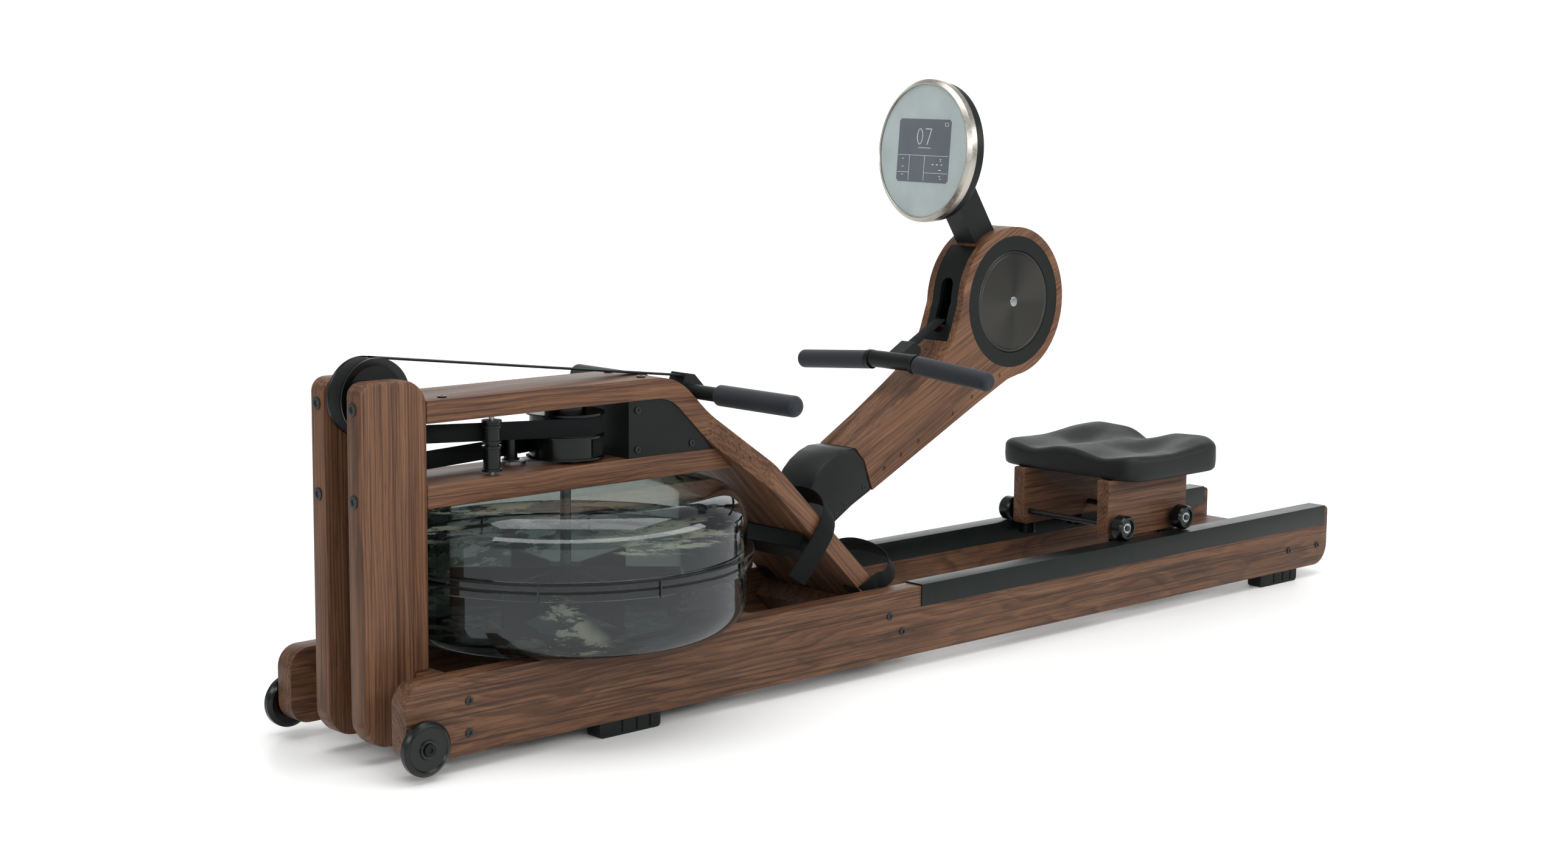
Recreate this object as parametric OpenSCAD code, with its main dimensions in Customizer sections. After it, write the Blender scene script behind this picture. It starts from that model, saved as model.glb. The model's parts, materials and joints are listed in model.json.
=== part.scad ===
// Water rowing machine: two wooden rails, a round water tank under a bent wooden deck that
// runs down into the footboard, a strap drive with a pull handle, a rolling seat, and a
// leaning wooden arm with a second strap handle and a round monitor.
// X runs along the machine (tank end at -X), Y across, Z up. The origin is on the floor at
// the centre of the machine. Lengths are in millimetres.

/* [Rails] */
// Length of each rail
rail_len = 2100; // [1900:10:2300]
// Height of each rail board
rail_h = 109; // [100:1:120]
// Thickness of each rail board
rail_t = 34; // [30:1:36]
// Clear gap between the rails
rail_gap = 246; // [244:1:250]
// Height of the rubber feet
foot_h = 22; // [18:1:26]
// Thickness of the folded metal rail caps
cap_t = 2.5; // [2:0.5:3]
// Depth of the rail cap's side legs
cap_leg = 33; // [25:1:36]

/* [Posts and deck] */
// Thickness of each upright post
post_t = 34; // [30:1:36]
// Depth of each post along the machine
post_d = 107; // [100:1:110]
// Height of the post tops above the floor
post_top = 521; // [515:1:530]
// Thickness of the deck and footboard
board_t = 31; // [28:1:33]
// Height of the deck's upper face
deck_top = 490; // [486:1:494]
// Width of the deck
deck_w = 120; // [110:2:120]
// Width of the footboard
footboard_w = 236; // [220:2:240]
// Slope of the footboard below the horizontal
slope = 43.8; // [42:0.2:45]

/* [Tank] */
// Radius of the tank's bolted flange
tank_flange_r = 273; // [268:1:273]
// Radius of the tank's wall
tank_wall_r = 265; // [260:1:265]
// Height of the tank's top above the floor
tank_top = 336; // [330:1:337]

/* [Arm and monitor] */
// Width of the arm
arm_w = 82; // [78:1:84]
// Outer radius of the round head
head_r = 126; // [124:1:128]
// Radius of the monitor
monitor_r = 117; // [110:1:118]
// Turn of the monitor away from straight ahead
monitor_turn = 6; // [0:1:8]

/* [Seat] */
// Radius of the seat wheels
wheel_r = 21.5; // [20:0.5:23]
// Length of the seat cushion
cushion_len = 262; // [240:2:270]
// Width of the seat cushion
cushion_w = 322; // [290:2:330]

/* [Hidden] */
$fn = 64;

// Shared colours
walnut = "#6b4630";
black_metal = "#262b2b";
black_plastic = "#1f2324";

// Gap left between pieces that turn against each other
run_gap = 0.05;
// Gap left between pieces of different bodies that pass close by
clear_gap = 0.4;

// Distance of the rails' middle from the middle of the whole machine
origin_shift = 7;

// Rails
rail_y0 = rail_gap / 2;
rail_y1 = rail_y0 + rail_t;
rail_z0 = foot_h;
rail_z1 = foot_h + rail_h;
rail_x0 = -rail_len / 2;
rail_x1 = rail_len / 2;
cap_x0 = -70;
cap_x1 = rail_x1 - 12;

// Posts
post_y0 = deck_w / 2 - post_t;
post_y1 = deck_w / 2;
post_x1 = rail_x0 + post_d;

// Deck and footboard: the outer face bends from level to the slope at bend_x
bend_x = -498.3;
bend_r = 64;
deck_bottom = deck_top - board_t;
board_end_z = 60;
slope_dir = [cos(slope), -sin(slope)];
slope_normal = [sin(slope), cos(slope)];
mid_top = 375;
mid_bottom = 342;

// Tank and drive axis
tank_x = -660;
flange_low_z = 222;
flange_high_z = 247;
seal_z0 = 233;
seal_z1 = 236;

// Drive between the decks
drum_r = 52;
drum_flange_r = 57;
tank_t = 4;
water_z = 272;
paddle_r = 168;
wheel_pos = [-1026.5, 46];
wheel_bolt_r = 6;
strap_w = 26;
upper_strap_z = 428.2;
lower_strap_z = 396.2;
strap_t = 1.6;
idler_r = 12;
idler_x = -820;
roller_r = 10;
roller_x = -738;
shaft_r = 8;

// Pulleys between the posts
top_pulley_r = 55;
top_pulley_pos = [-996, 494];
recoil_r = 24;
recoil_pos = [-987, 371.4];
axle_pin_r = 6;
top_core_r = 53;
recoil_core_r = 22.5;
// Height of a strap's middle above the drum or pulley it wraps
strap_lift = strap_t / 2 + 0.25;

// Main handle
bar_pos = [-438, 459];
bar_r = 11;
grip_r = 16;
grip_y0 = 88;
grip_end = 255;
clamp_tip = [-446.5, 482];

// Arm: foot and head of the wooden arm in the XZ plane
head_pos = [268, 555];
side_disc_r = 86.5;
side_ring_r = 111;
cheek_t = 13;
arm_low0 = [-65, 269.5];
arm_high0 = [-104, 341];
arm_mid0 = [-84, 319];
head_wall = 10;
stem_base = [213, 666.5];
stem_dir = [-0.557, 0.8305];
stem_w = 42;
stem_d = 50;
stem_len = 104;

// Arm handle
arm_bar_pos = [20, 469];
arm_bar_r = 14;
arm_grip_z = 453.5;
arm_grip_r = 15.5;
arm_grip_y0 = 60;
arm_grip_end = 215;
slot_pos = [131, 530];

// Monitor
monitor_pos = [91, 809.5];
monitor_tilt = 4.2;
swivel_x = 153;
tilt_pos = [138, 809];

// Seat
front_axle_x = 468;
rear_axle_x = 634;
block_y0 = 84;
block_y1 = 109;
block_x0 = 452;
block_x1 = 672;
cushion_z0 = 236;
cushion_x0 = 456;
wheel_y0 = 117;
wheel_w = 25;
axle_r = 5;
guide_x = [485, 620];
guide_y = 104;
guide_r = 15;
axle_z = rail_z1 + cap_t + clear_gap + wheel_r;

// ---------------------------------------------------------------- helpers

function unit(v) = v / norm(v);

// Points of one corner p between neighbours a and b, rounded with radius r
function fillet(a, p, b, r, n = 8) =
    r <= 0 ? [p] :
    let (
        u = unit(a - p),
        v = unit(b - p),
        half = acos(u * v) / 2,
        c = p + unit(u + v) * r / sin(half),
        s = p + u * r / tan(half) - c,
        e = p + v * r / tan(half) - c,
        a0 = atan2(s.y, s.x),
        turn = (atan2(e.y, e.x) - a0 + 540) % 360 - 180
    )
    [for (i = [0:n]) c + r * [cos(a0 + turn * i / n), sin(a0 + turn * i / n)]];

// Outline with each corner rounded by its own radius
function rounded(pts, radii) =
    let (n = len(pts))
    [for (i = [0:n - 1]) each fillet(pts[(i + n - 1) % n], pts[i], pts[(i + 1) % n], radii[i])];

function arc(c, r, a0, a1, n = 32) =
    [for (i = [0:n]) c + r * [cos(a0 + (a1 - a0) * i / n), sin(a0 + (a1 - a0) * i / n)]];

function box_outline(x0, x1, z0, z1) = [[x0, z0], [x1, z0], [x1, z1], [x0, z1]];

// Puts the origin at the centre of the whole machine, whose wheels stand out in front
module placed() {
    translate([origin_shift, 0, 0]) children();
}

// Extrudes an outline drawn in the XZ plane from y0 to y1
module along_y(y0, y1) {
    translate([0, y1, 0]) rotate([90, 0, 0]) linear_extrude(y1 - y0) children();
}

// Round bar along Y, centred at the XZ point p
module y_rod(p, r, y0, y1) {
    translate([p.x, y1, p.y]) rotate([90, 0, 0]) cylinder(r = r, h = y1 - y0);
}

// Profile of radius against axial distance, turned about a Y axis through the XZ point p
module y_turned(p, profile) {
    translate([p.x, 0, p.y]) rotate([-90, 0, 0]) rotate_extrude() polygon(profile);
}

module block(x0, x1, y0, y1, z0, z1) {
    translate([x0, y0, z0]) cube([x1 - x0, y1 - y0, z1 - z0]);
}

// Shows geometry that is drawn on the +Y side on either side
module on_side(side) {
    mirror([0, side < 0 ? 1 : 0, 0]) children();
}

// Closed skin over a list of rings that all have the same number of points
module skin(rings) {
    n = len(rings[0]);
    m = len(rings);
    sides = [
        for (i = [0:m - 2]) for (j = [0:n - 1])
            [i * n + j, i * n + (j + 1) % n, (i + 1) * n + (j + 1) % n, (i + 1) * n + j]
    ];
    polyhedron(
        points = [for (ring = rings) each ring],
        faces = concat([[for (j = [n - 1:-1:0]) j]], sides, [[for (j = [0:n - 1]) (m - 1) * n + j]])
    );
}

function tangent(path, i) =
    unit(path[min(i + 1, len(path) - 1)] - path[max(i - 1, 0)]);

// Flat strap along a path; wide[i] is the direction of its width at each point
module ribbon(path, wide, width, thick) {
    skin([
        for (i = [0:len(path) - 1])
            let (n = unit(cross(tangent(path, i), wide[i])))
            [for (k = [[-1, -1], [1, -1], [1, 1], [-1, 1]])
                path[i] + wide[i] * k.x * width / 2 + n * k.y * thick / 2]
    ]);
}

// ---------------------------------------------------------------- frame

module rail_outline() {
    polygon(rounded(
        box_outline(rail_x0, rail_x1, rail_z0, rail_z1), [30, 38, 8, 30]
    ));
}

// Folded cap: flush on the inner side, standing proud on top and outside
module cap_section() {
    difference() {
        block(cap_x0, cap_x1, rail_y0, rail_y1 + cap_t, rail_z1 - cap_leg, rail_z1 + cap_t);
        block(cap_x0 - 1, cap_x1 + 1, rail_y0 + cap_t, rail_y1, rail_z1 - cap_leg - 1, rail_z1);
    }
}

module rail(side) {
    color(walnut) placed() on_side(side) difference() {
        along_y(rail_y0, rail_y1) rail_outline();
        block(cap_x0, cap_x1, rail_y0 - 1, rail_y0 + cap_t, rail_z1 - cap_leg, rail_z1 + 1);
    }
}

module rail_caps() {
    color(black_metal) placed() for (side = [-1, 1]) on_side(side) cap_section();
}

// Front board through the posts, tank support, footboard cleat and rear end board
module cross_boards() {
    color(walnut) placed() {
        difference() {
            block(-966, -932, -rail_y0, rail_y0, 34, 118);
            block(-967, -931, -20, 20, 40, 64);
        }
        block(-440, -406, -rail_y0, rail_y0, 60, rail_z1);
        along_y(-rail_y0, rail_y0) polygon([
            for (k = [[-45, 0], [45, 0], [45, 34], [-45, 34]])
                [-116, 80.3] + k.x * slope_dir - k.y * slope_normal
        ]);
        block(885, 1040, -rail_y0, rail_y0, 43, 77);
    }
}

module post(side) {
    color("#7a4f37") placed() on_side(side) difference() {
        along_y(post_y0, post_y1) polygon(rounded(
            box_outline(rail_x0, post_x1, rail_z0, post_top), [42, 0, 38, 20]
        ));
        block(-966, -900, post_y0 - 1, post_y1 + 1, 34, 118);
    }
}

function board_outline(x0) =
    let (
        outer_end = [bend_x, deck_top] + slope_dir * (deck_top - board_end_z) / sin(slope),
        inner_corner = [bend_x - board_t * tan(slope / 2), deck_bottom]
    )
    rounded(
        [[x0, deck_top], [bend_x, deck_top], outer_end, outer_end - slope_normal * board_t,
         inner_corner, [x0, deck_bottom]],
        [0, bend_r + board_t, 6, 6, bend_r, 0]
    );

// Plan of the board: deck width, then the flare out to the footboard
function board_plan() =
    let (w0 = deck_w / 2, w1 = footboard_w / 2)
    rounded(
        [[post_x1, -w0], [-434, -w0], [-352, -w1], [0, -w1],
         [0, w1], [-352, w1], [-434, w0], [post_x1, w0]],
        [0, 40, 26, 0, 0, 26, 40, 0]
    );

module deck_footboard() {
    color(walnut) placed() difference() {
        intersection() {
            along_y(-footboard_w / 2, footboard_w / 2) polygon(board_outline(post_x1));
            linear_extrude(600) polygon(board_plan());
        }
        y_rod(top_pulley_pos, top_pulley_r + 1.5, -20, 20);
    }
}

module mid_deck() {
    inner_x = bend_x - board_t * tan(slope / 2);
    color(walnut) placed() difference() {
        along_y(-deck_w / 2, deck_w / 2) polygon([
            [post_x1, mid_bottom],
            [inner_x + (deck_bottom - mid_bottom) / tan(slope), mid_bottom],
            [inner_x + (deck_bottom - mid_top) / tan(slope), mid_top],
            [post_x1, mid_top]
        ]);
        translate([tank_x, 0, mid_bottom - 1]) cylinder(r = 14, h = 50);
    }
}

// Black cover over the drive between the decks, with a side panel on each side
module drive_cover() {
    inner_x = bend_x - board_t * tan(slope / 2);
    outline = rounded(
        [[-588, mid_top], [inner_x + (deck_bottom - mid_top) / tan(slope), mid_top],
         [inner_x, deck_bottom], [-588, deck_bottom]],
        [0, 0, bend_r, 0]
    );
    color(black_plastic) placed() {
        for (side = [-1, 1]) on_side(side) along_y(54, 57) polygon(outline);
        block(-588, -585, -54, 54, mid_top, deck_bottom);
    }
}

module foot(x) {
    ribs = [0.36, 0.6, 0.82];
    color("#16201e") difference() {
        along_y(rail_y0 + 3, rail_y1 - 2) polygon(rounded(
            box_outline(x, x + 112, 0, rail_z0), [7, 7, 0, 0]
        ));
        for (k = ribs) block(x + 112 * k - 2, x + 112 * k + 2, rail_y1 - 4, rail_y1, 4, rail_z0 - 1);
    }
}

module feet() {
    placed() for (side = [-1, 1]) on_side(side) {
        foot(-722);
        foot(846);
    }
}

// Head of a socket screw, lying on a face; its axis points along +Z
module screw_head(r, h) {
    difference() {
        cylinder(r = r, h = h);
        translate([0, 0, h / 2]) cylinder(r = r * 0.42, h = h, $fn = 6);
    }
}

module frame_screws() {
    head_h = 1.4;
    rail_heads = [[-949, 96], [-949, 52], [-141, 92], [-112, 64], [928, 60], [1018, 60]];
    cover_heads = [[-572, 445], [-572, 387], [-467, 387]];
    color("#3b3e40") placed() for (side = [-1, 1]) on_side(side) {
        for (p = rail_heads) translate([p.x, rail_y1, p.y]) rotate([-90, 0, 0]) screw_head(5.5, head_h);
        for (z = [362, 486])
            translate([rail_x0, (post_y0 + post_y1) / 2, z]) rotate([0, -90, 0]) screw_head(8, head_h);
        for (x = [-903, -549]) translate([x, 38, deck_top]) screw_head(6, head_h);
        for (p = cover_heads) translate([p.x, 57, p.y]) rotate([-90, 0, 0]) screw_head(4.5, head_h);
        // Transport wheel bolt with a wide head
        translate([wheel_pos.x, rail_y1, wheel_pos.y]) rotate([-90, 0, 0]) {
            cylinder(r = wheel_bolt_r, h = 19);
            translate([0, 0, 19]) screw_head(9, 3);
        }
    }
}

// ---------------------------------------------------------------- tank

// Outer profile of the tank at an inset, from its axis at the bottom to its axis at the top
function tank_profile(inset) =
    let (r = tank_wall_r - inset, z0 = rail_z1 + inset, z1 = tank_top - inset)
    rounded([[0, z0], [r, z0], [r, z1], [0, z1]], [0, 45 - inset, 45 - inset, 0]);

module tank_shell(z0, z1, lip0, lip1) {
    translate([tank_x, 0, 0]) intersection() {
        rotate_extrude($fn = 96) union() {
            difference() {
                polygon(tank_profile(0));
                polygon(tank_profile(tank_t));
            }
            translate([tank_wall_r - tank_t, lip0])
                square([tank_flange_r - tank_wall_r + tank_t, lip1 - lip0]);
        }
        translate([0, 0, z0]) cylinder(r = 300, h = z1 - z0);
    }
}

module tank_lower() {
    color("#4a5254") placed() tank_shell(rail_z1, seal_z0, flange_low_z, seal_z0);
}

// Upper shell with thin clips that hang over its flange and a bearing hub for the shaft
module tank_upper() {
    color("#4a5254") placed() difference() {
        union() {
            tank_shell(seal_z1, tank_top, seal_z1, flange_high_z);
            translate([tank_x, 0, tank_top - 30]) cylinder(r = 22, h = 30);
            for (k = [0:11]) translate([tank_x, 0, 0]) rotate([0, 0, 30 * k + 14]) {
                translate([tank_flange_r - 1, -2, seal_z1]) cube([2.2, 4, flange_high_z - seal_z1]);
                translate([tank_flange_r + 0.3, -2, flange_low_z])
                    cube([0.9, 4, seal_z1 - flange_low_z + 1]);
            }
        }
        translate([tank_x, 0, tank_top - 40]) cylinder(r = shaft_r + run_gap, h = 60);
    }
}

module tank_seal() {
    color("#101313") placed() translate([tank_x, 0, seal_z0]) difference() {
        cylinder(r = tank_flange_r - 1, h = seal_z1 - seal_z0, $fn = 96);
        translate([0, 0, -1]) cylinder(r = tank_wall_r - tank_t, h = 10, $fn = 96);
    }
}

// Water, open around the shaft and the sweep of the paddles
module water() {
    color("#8fb3b5") placed() translate([tank_x, 0, 0]) rotate_extrude($fn = 96) difference() {
        intersection() {
            polygon(tank_profile(tank_t + 0.2));
            translate([0, rail_z1]) square([300, water_z - rail_z1]);
        }
        square([paddle_r + 3, 400]);
    }
}

// ---------------------------------------------------------------- drive

module drive_shaft() {
    color("#9a9fa1") placed() translate([tank_x, 0, 150])
        cylinder(r = shaft_r, h = deck_bottom - 0.5 - 150);
}

// Six paddles around a hub pressed on the shaft
module impeller() {
    color("#2d3436") placed() translate([tank_x, 0, 150]) difference() {
        union() {
            cylinder(r = 24, h = 70);
            for (k = [0:5]) rotate([0, 0, 60 * k + 20]) translate([20, -3, 8]) cube([paddle_r - 20, 6, 58]);
        }
        translate([0, 0, -1]) cylinder(r = shaft_r, h = 90);
    }
}

// Two strap spools side by side on one sleeve that turns on the shaft
module drive_drums() {
    color(black_plastic) placed() translate([tank_x, 0, 0]) rotate_extrude($fn = 96) polygon([
        [shaft_r + run_gap, 377], [34, 377], [34, 380], [drum_flange_r, 380], [drum_flange_r, 382],
        [drum_r, 382], [drum_r, 410.5], [drum_flange_r, 410.5], [drum_flange_r, 413.5],
        [drum_r, 413.5], [drum_r, 443], [drum_flange_r, 443], [drum_flange_r, 446],
        [30, 446], [30, 456], [shaft_r + run_gap, 456]
    ]);
}

// Where each strap meets the drum: the angle of the tangent from a point on the centre line
function tangent_angle(x) = acos((drum_r + strap_lift) / (tank_x - x));

// Point of the drum wrap at an angle measured from the -X direction
function wrap_point(a, side, z) =
    [tank_x - (drum_r + strap_lift) * cos(a), side * (drum_r + strap_lift) * sin(a), z];

// Point of the straight run between x0 on the centre line and the drum, and its side normal
function run_point(x0, x, side, z) =
    let (a = tangent_angle(x0)) [x, side * (x - x0) / tan(a), z];
function run_normal(x0, side) =
    let (a = tangent_angle(x0)) [-cos(a), side * sin(a), 0];

// Strap from a pulley's flat run, through a quarter turn, to the drum and part way around it
module twisted_strap(x0, side, z0, z1, start) {
    a0 = tangent_angle(x0);
    twist_len = 180;
    run_len = wrap_point(a0, side, z1).x - x0;
    steps = [for (i = [0:12]) i / 12];
    run = [for (k = steps)
        run_point(x0, x0 + twist_len * k, side, z0 + (z1 - z0) * k * twist_len / run_len)];
    turn = [for (k = steps) let (a = 90 * max(0, (k - 0.33) / 0.67)) [0, cos(a), sin(a)]];
    wrap = [for (i = [0:20]) wrap_point(a0 + 9 * i, side, z1)];
    ribbon(
        concat(start[0], run, wrap), concat(start[1], turn, [for (p = wrap) [0, 0, 1]]), strap_w, strap_t
    );
}

// Drive strap: over the top pulley's front, under it, and back to the upper spool
module drive_strap() {
    r = top_core_r + strap_lift;
    front = [for (i = [0:18]) 97 + 9.6 * i];
    color("#22282b") placed() twisted_strap(top_pulley_pos.x, -1, top_pulley_pos.y - r, upper_strap_z, [
        [for (a = front) [top_pulley_pos.x + r * cos(a), 0, top_pulley_pos.y + r * sin(a)]],
        [for (a = front) [0, 1, 0]]
    ]);
}

// Return strap: up from the front board, over the recoil pulley, and back to the lower spool
module recoil_strap() {
    r = recoil_core_r + strap_lift;
    top = [for (i = [0:9]) 180 - 9.6 * i];
    start = concat(
        [[recoil_pos.x - r, 0, 122]],
        [for (a = top) [recoil_pos.x + r * cos(a), 0, recoil_pos.y + r * sin(a)]]
    );
    color("#22282b") placed() twisted_strap(
        recoil_pos.x, 1, recoil_pos.y + r, lower_strap_z, [start, [for (p = start) [0, 1, 0]]]
    );
}

// Flanged pulley on a Y axis with a core for the strap
module pulley(p, core, flange, half_w, bore) {
    y_turned(p, [
        [bore, -half_w], [flange * 0.45, -half_w], [flange * 0.8, -half_w + 2.5], [flange, -half_w],
        [flange, -half_w + 2.5], [core, -half_w + 3.5], [core, half_w - 3.5],
        [flange, half_w - 2.5], [flange, half_w], [flange * 0.8, half_w - 2.5],
        [flange * 0.45, half_w], [bore, half_w]
    ]);
}

module top_pulley() {
    color("#14181a") placed()
        pulley(top_pulley_pos, top_core_r, top_pulley_r, 18, axle_pin_r + run_gap);
}

module recoil_pulley() {
    color("#14181a") placed() pulley(recoil_pos, recoil_core_r, recoil_r, 17, axle_pin_r + run_gap);
}

// Position of an upright roller that bears on a strap's run from its -Y side
function roller_pos(x0, x, side, r) =
    run_point(x0, x, side, 0) - side * run_normal(x0, side) * (r + strap_t / 2 + 0.3);

// Vertical roller with a flange at each end
module upright_roller(p, r, z0, z1) {
    translate([p.x, p.y, 0]) rotate_extrude() polygon([
        [4 + run_gap, z0], [r + 3, z0], [r + 3, z0 + 2], [r, z0 + 2], [r, z1 - 2], [r + 3, z1 - 2],
        [r + 3, z1], [4 + run_gap, z1]
    ]);
}

module strap_idler() {
    color("#14181a") placed() upright_roller(
        roller_pos(top_pulley_pos.x, idler_x, -1, idler_r), idler_r - 0.8, 380, 452
    );
}

module guide_roller() {
    color("#14181a") placed() upright_roller(
        roller_pos(recoil_pos.x, roller_x, 1, roller_r), roller_r, 379, 413
    );
}

// Pulley axles between the posts and the pins of the upright rollers
module pulley_axles() {
    idler = roller_pos(top_pulley_pos.x, idler_x, -1, idler_r);
    roller = roller_pos(recoil_pos.x, roller_x, 1, roller_r);
    color("#8d9294") placed() {
        for (p = [top_pulley_pos, recoil_pos]) y_rod(p, axle_pin_r, -post_y0, post_y0);
        translate([idler.x, idler.y, mid_top]) cylinder(r = 4, h = deck_bottom - mid_top);
        translate([roller.x, roller.y, mid_top]) cylinder(r = 4, h = 40);
        translate([roller.x, roller.y, mid_top]) cylinder(r = 22, h = 3);
    }
}

module transport_wheel(side) {
    color("#1c1f20") placed() on_side(side) y_turned(wheel_pos, [
        [wheel_bolt_r + run_gap, 160], [31, 160], [34, 161.5], [37.5, 164], [37.5, 171], [34, 174],
        [31, 175], [29, 173], [14, 173], [13, 175], [wheel_bolt_r + run_gap, 175]
    ]);
}

// ---------------------------------------------------------------- handle

module handle_bar() {
    color(black_plastic) placed() {
        difference() {
            y_rod(bar_pos, bar_r, -grip_end + 12, grip_end - 12);
            for (side = [-1, 1]) on_side(side) y_rod(bar_pos, bar_r + 1, grip_y0, grip_end);
        }
        difference() {
            along_y(-17, 17) polygon(rounded(
                [[-454, 461], [-443, 486], [-426, 483], [-404, 461], [-412, 452], [-430, 446]],
                [3, 2, 5, 4, 4, 3]
            ));
            y_rod(bar_pos, bar_r, -20, 20);
        }
    }
}

module handle_grips() {
    color("#2a3036") placed() for (side = [-1, 1]) on_side(side) y_turned(bar_pos, rounded(
        [[0, grip_y0], [grip_r, grip_y0], [grip_r, grip_end], [0, grip_end]], [0, 2, 9, 0]
    ));
}

module handle_strap() {
    path = [
        [top_pulley_pos.x + 8, 0, top_pulley_pos.y + top_core_r + strap_lift - 0.4],
        [clamp_tip.x - 2, 0, clamp_tip.y]
    ];
    color("#22282b") placed() ribbon(path, [[0, 1, 0], [0, 1, 0]], strap_w, strap_t);
}

// ---------------------------------------------------------------- footboard

// Point over the footboard: distance down the slope, position across, height off the face
function on_slope(s, y, n) =
    let (p = [-332.1, 330.6] + s * slope_dir + n * slope_normal) [p.x, y, p.y];

// Toe strap and heel strap on each half of the footboard, wrapped around its edge
module foot_straps() {
    edge = footboard_w / 2;
    down = [cos(slope), 0, -sin(slope)];
    toe = [[40, 1], [44, 30], [58, 52], [80, 60], [102, 52], [117, 26], [120, 4], [120, -32.3], [100, -32.3]];
    heel = [[34, 1], [38, 26], [54, 50], [78, 60], [102, 50], [117, 24], [120, 4], [120, -32.3], [80, -32.3]];
    color("#22282b") placed() for (side = [-1, 1]) on_side(side) {
        ribbon([for (p = toe) on_slope(140, p.x, p.y)], [for (p = toe) down], 34, 2);
        ribbon([for (p = heel) on_slope(268, p.x, p.y)], [for (p = heel) down], 26, 2);
    }
}

// Outline under the footboard from distances down the slope and depths below the board
function under_board(pts) = [
    for (k = pts) [-332.1, 330.6] + k.x * slope_dir - (k.y + board_t) * slope_normal
];

// Black bar across the back of the footboard; the straps pass between it and the board
module strap_bar() {
    color(black_plastic) placed() {
        along_y(-103, 103) polygon(rounded(
            under_board([[107, 2.6], [157, 2.6], [151, 26], [113, 26]]), [0, 0, 6, 6]
        ));
        along_y(-60, 60) polygon(under_board([[107, 0], [157, 0], [157, 2.6], [107, 2.6]]));
    }
}

// ---------------------------------------------------------------- arm

// Height of the footboard's face at x
function board_z(x) = 330.6 - (x + 332.1) * tan(slope);

module arm_outline() {
    difference() {
        union() {
            polygon([
                arm_low0, [28, 314.7], [187, 392], [257, 424], [312, 437], head_pos,
                [142, 558], [138.5, 548], [133, 532], [127, 515], [119, 497], [96, 467], [63, 443], [39, 427], [-31, 383], arm_high0, arm_mid0
            ]);
            translate(head_pos) circle(r = head_r, $fn = 96);
        }
        translate(head_pos) circle(r = side_ring_r, $fn = 96);
    }
}

module arm_cheek(side) {
    low_holes = [for (k = [[-38, 294], [0, 312], [41, 331], [122, 370], [169, 393], [237, 424]]) k];
    color(walnut) placed() on_side(side) difference() {
        along_y(arm_w / 2 - cheek_t, arm_w / 2) arm_outline();
        for (p = low_holes) y_rod(p + [-2, 8], 4, arm_w / 2 - 2, arm_w / 2 + 1);
    }
}

// Straight board between two XZ points, thick to its upper left
module arm_board(a, b, t) {
    n = unit([-(b.y - a.y), b.x - a.x]) * t;
    along_y(-(arm_w / 2 - cheek_t), arm_w / 2 - cheek_t) polygon([a, b, b + n, a + n]);
}

module arm_panels() {
    color(walnut) placed() difference() {
        union() {
            arm_board([-58, 273], [226, 412], 10);
            along_y(-(arm_w / 2 - cheek_t), arm_w / 2 - cheek_t) polygon([
                [-98, 340], [-31, 383], [39, 427], [63, 443], [96, 467], [118.5, 496.5],
                [125, 491.5], [101.5, 461], [67.5, 436.5], [43.5, 420.5], [-26.5, 376.5], [-92, 333]
            ]);
        }
        y_rod(head_pos, head_r, -50, 50);
        along_y(-50, 50) housing_outline();
    }
}

module housing_outline() {
    polygon([
        [-214, board_z(-214) + 0.2], [-178, board_z(-178) + 0.2], [-153, 223], [-111, 248], arm_low0,
        arm_mid0, arm_high0, [-134, 341], [-154, 334], [-174, 322], [-189, 308], [-203, 286]
    ]);
}

// Black moulded foot of the arm, hollow, open underneath where it meets the footboard
module arm_housing() {
    color(black_plastic) placed() difference() {
        along_y(-arm_w / 2, arm_w / 2) housing_outline();
        along_y(-arm_w / 2 + 6, arm_w / 2 - 6) polygon([
            [-206, 219], [-184, 196], [-164, 226], [-120, 252], [-82, 272], [-94, 314], [-108, 331],
            [-132, 331], [-168, 312], [-190, 290]
        ]);
    }
}

// Wooden band around the head between the cheeks, open at the front cover
module head_band() {
    color(walnut) placed() along_y(-(arm_w / 2 - cheek_t), arm_w / 2 - cheek_t) difference() {
        translate(head_pos) circle(r = head_r, $fn = 96);
        translate(head_pos) circle(r = head_r - head_wall, $fn = 96);
        polygon([head_pos, [40, 480], [40, 700], head_pos + unit([183.5, 654] - head_pos) * 200]);
    }
}

// Black front cover of the head with the round-ended strap slot
module head_front_cover() {
    top = 130.9;
    color(black_plastic) placed() difference() {
        along_y(-(arm_w / 2 - cheek_t), arm_w / 2 - cheek_t) polygon(concat(
            arc(head_pos, head_r - 10, top, 178), [[147, 552], [142, 532], [136, 515], [128, 500.5]],
            [[119.5, 497.5], [127, 515], [133, 532], [138.5, 550]], arc(head_pos, head_r - 0.5, 178, top)
        ));
        translate([100, -12.8, 522]) cube([60, 25.6, 64]);
        for (z = [522, 586]) translate([100, 0, z]) rotate([0, 90, 0]) cylinder(r = 12.8, h = 60);
    }
}

module head_side_rings() {
    color(black_plastic) placed() for (side = [-1, 1]) on_side(side) difference() {
        y_rod(head_pos, side_ring_r, 29, arm_w / 2 - 0.5);
        y_rod(head_pos, side_disc_r, 28, arm_w / 2);
    }
}

module head_side_discs() {
    color("#3c4144") placed() for (side = [-1, 1]) on_side(side) y_turned(head_pos, [
        [0, 31], [side_disc_r, 31], [side_disc_r, 38.5], [82, 40.5], [18, 37.5], [16, 40], [0, 40.5]
    ]);
}

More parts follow.
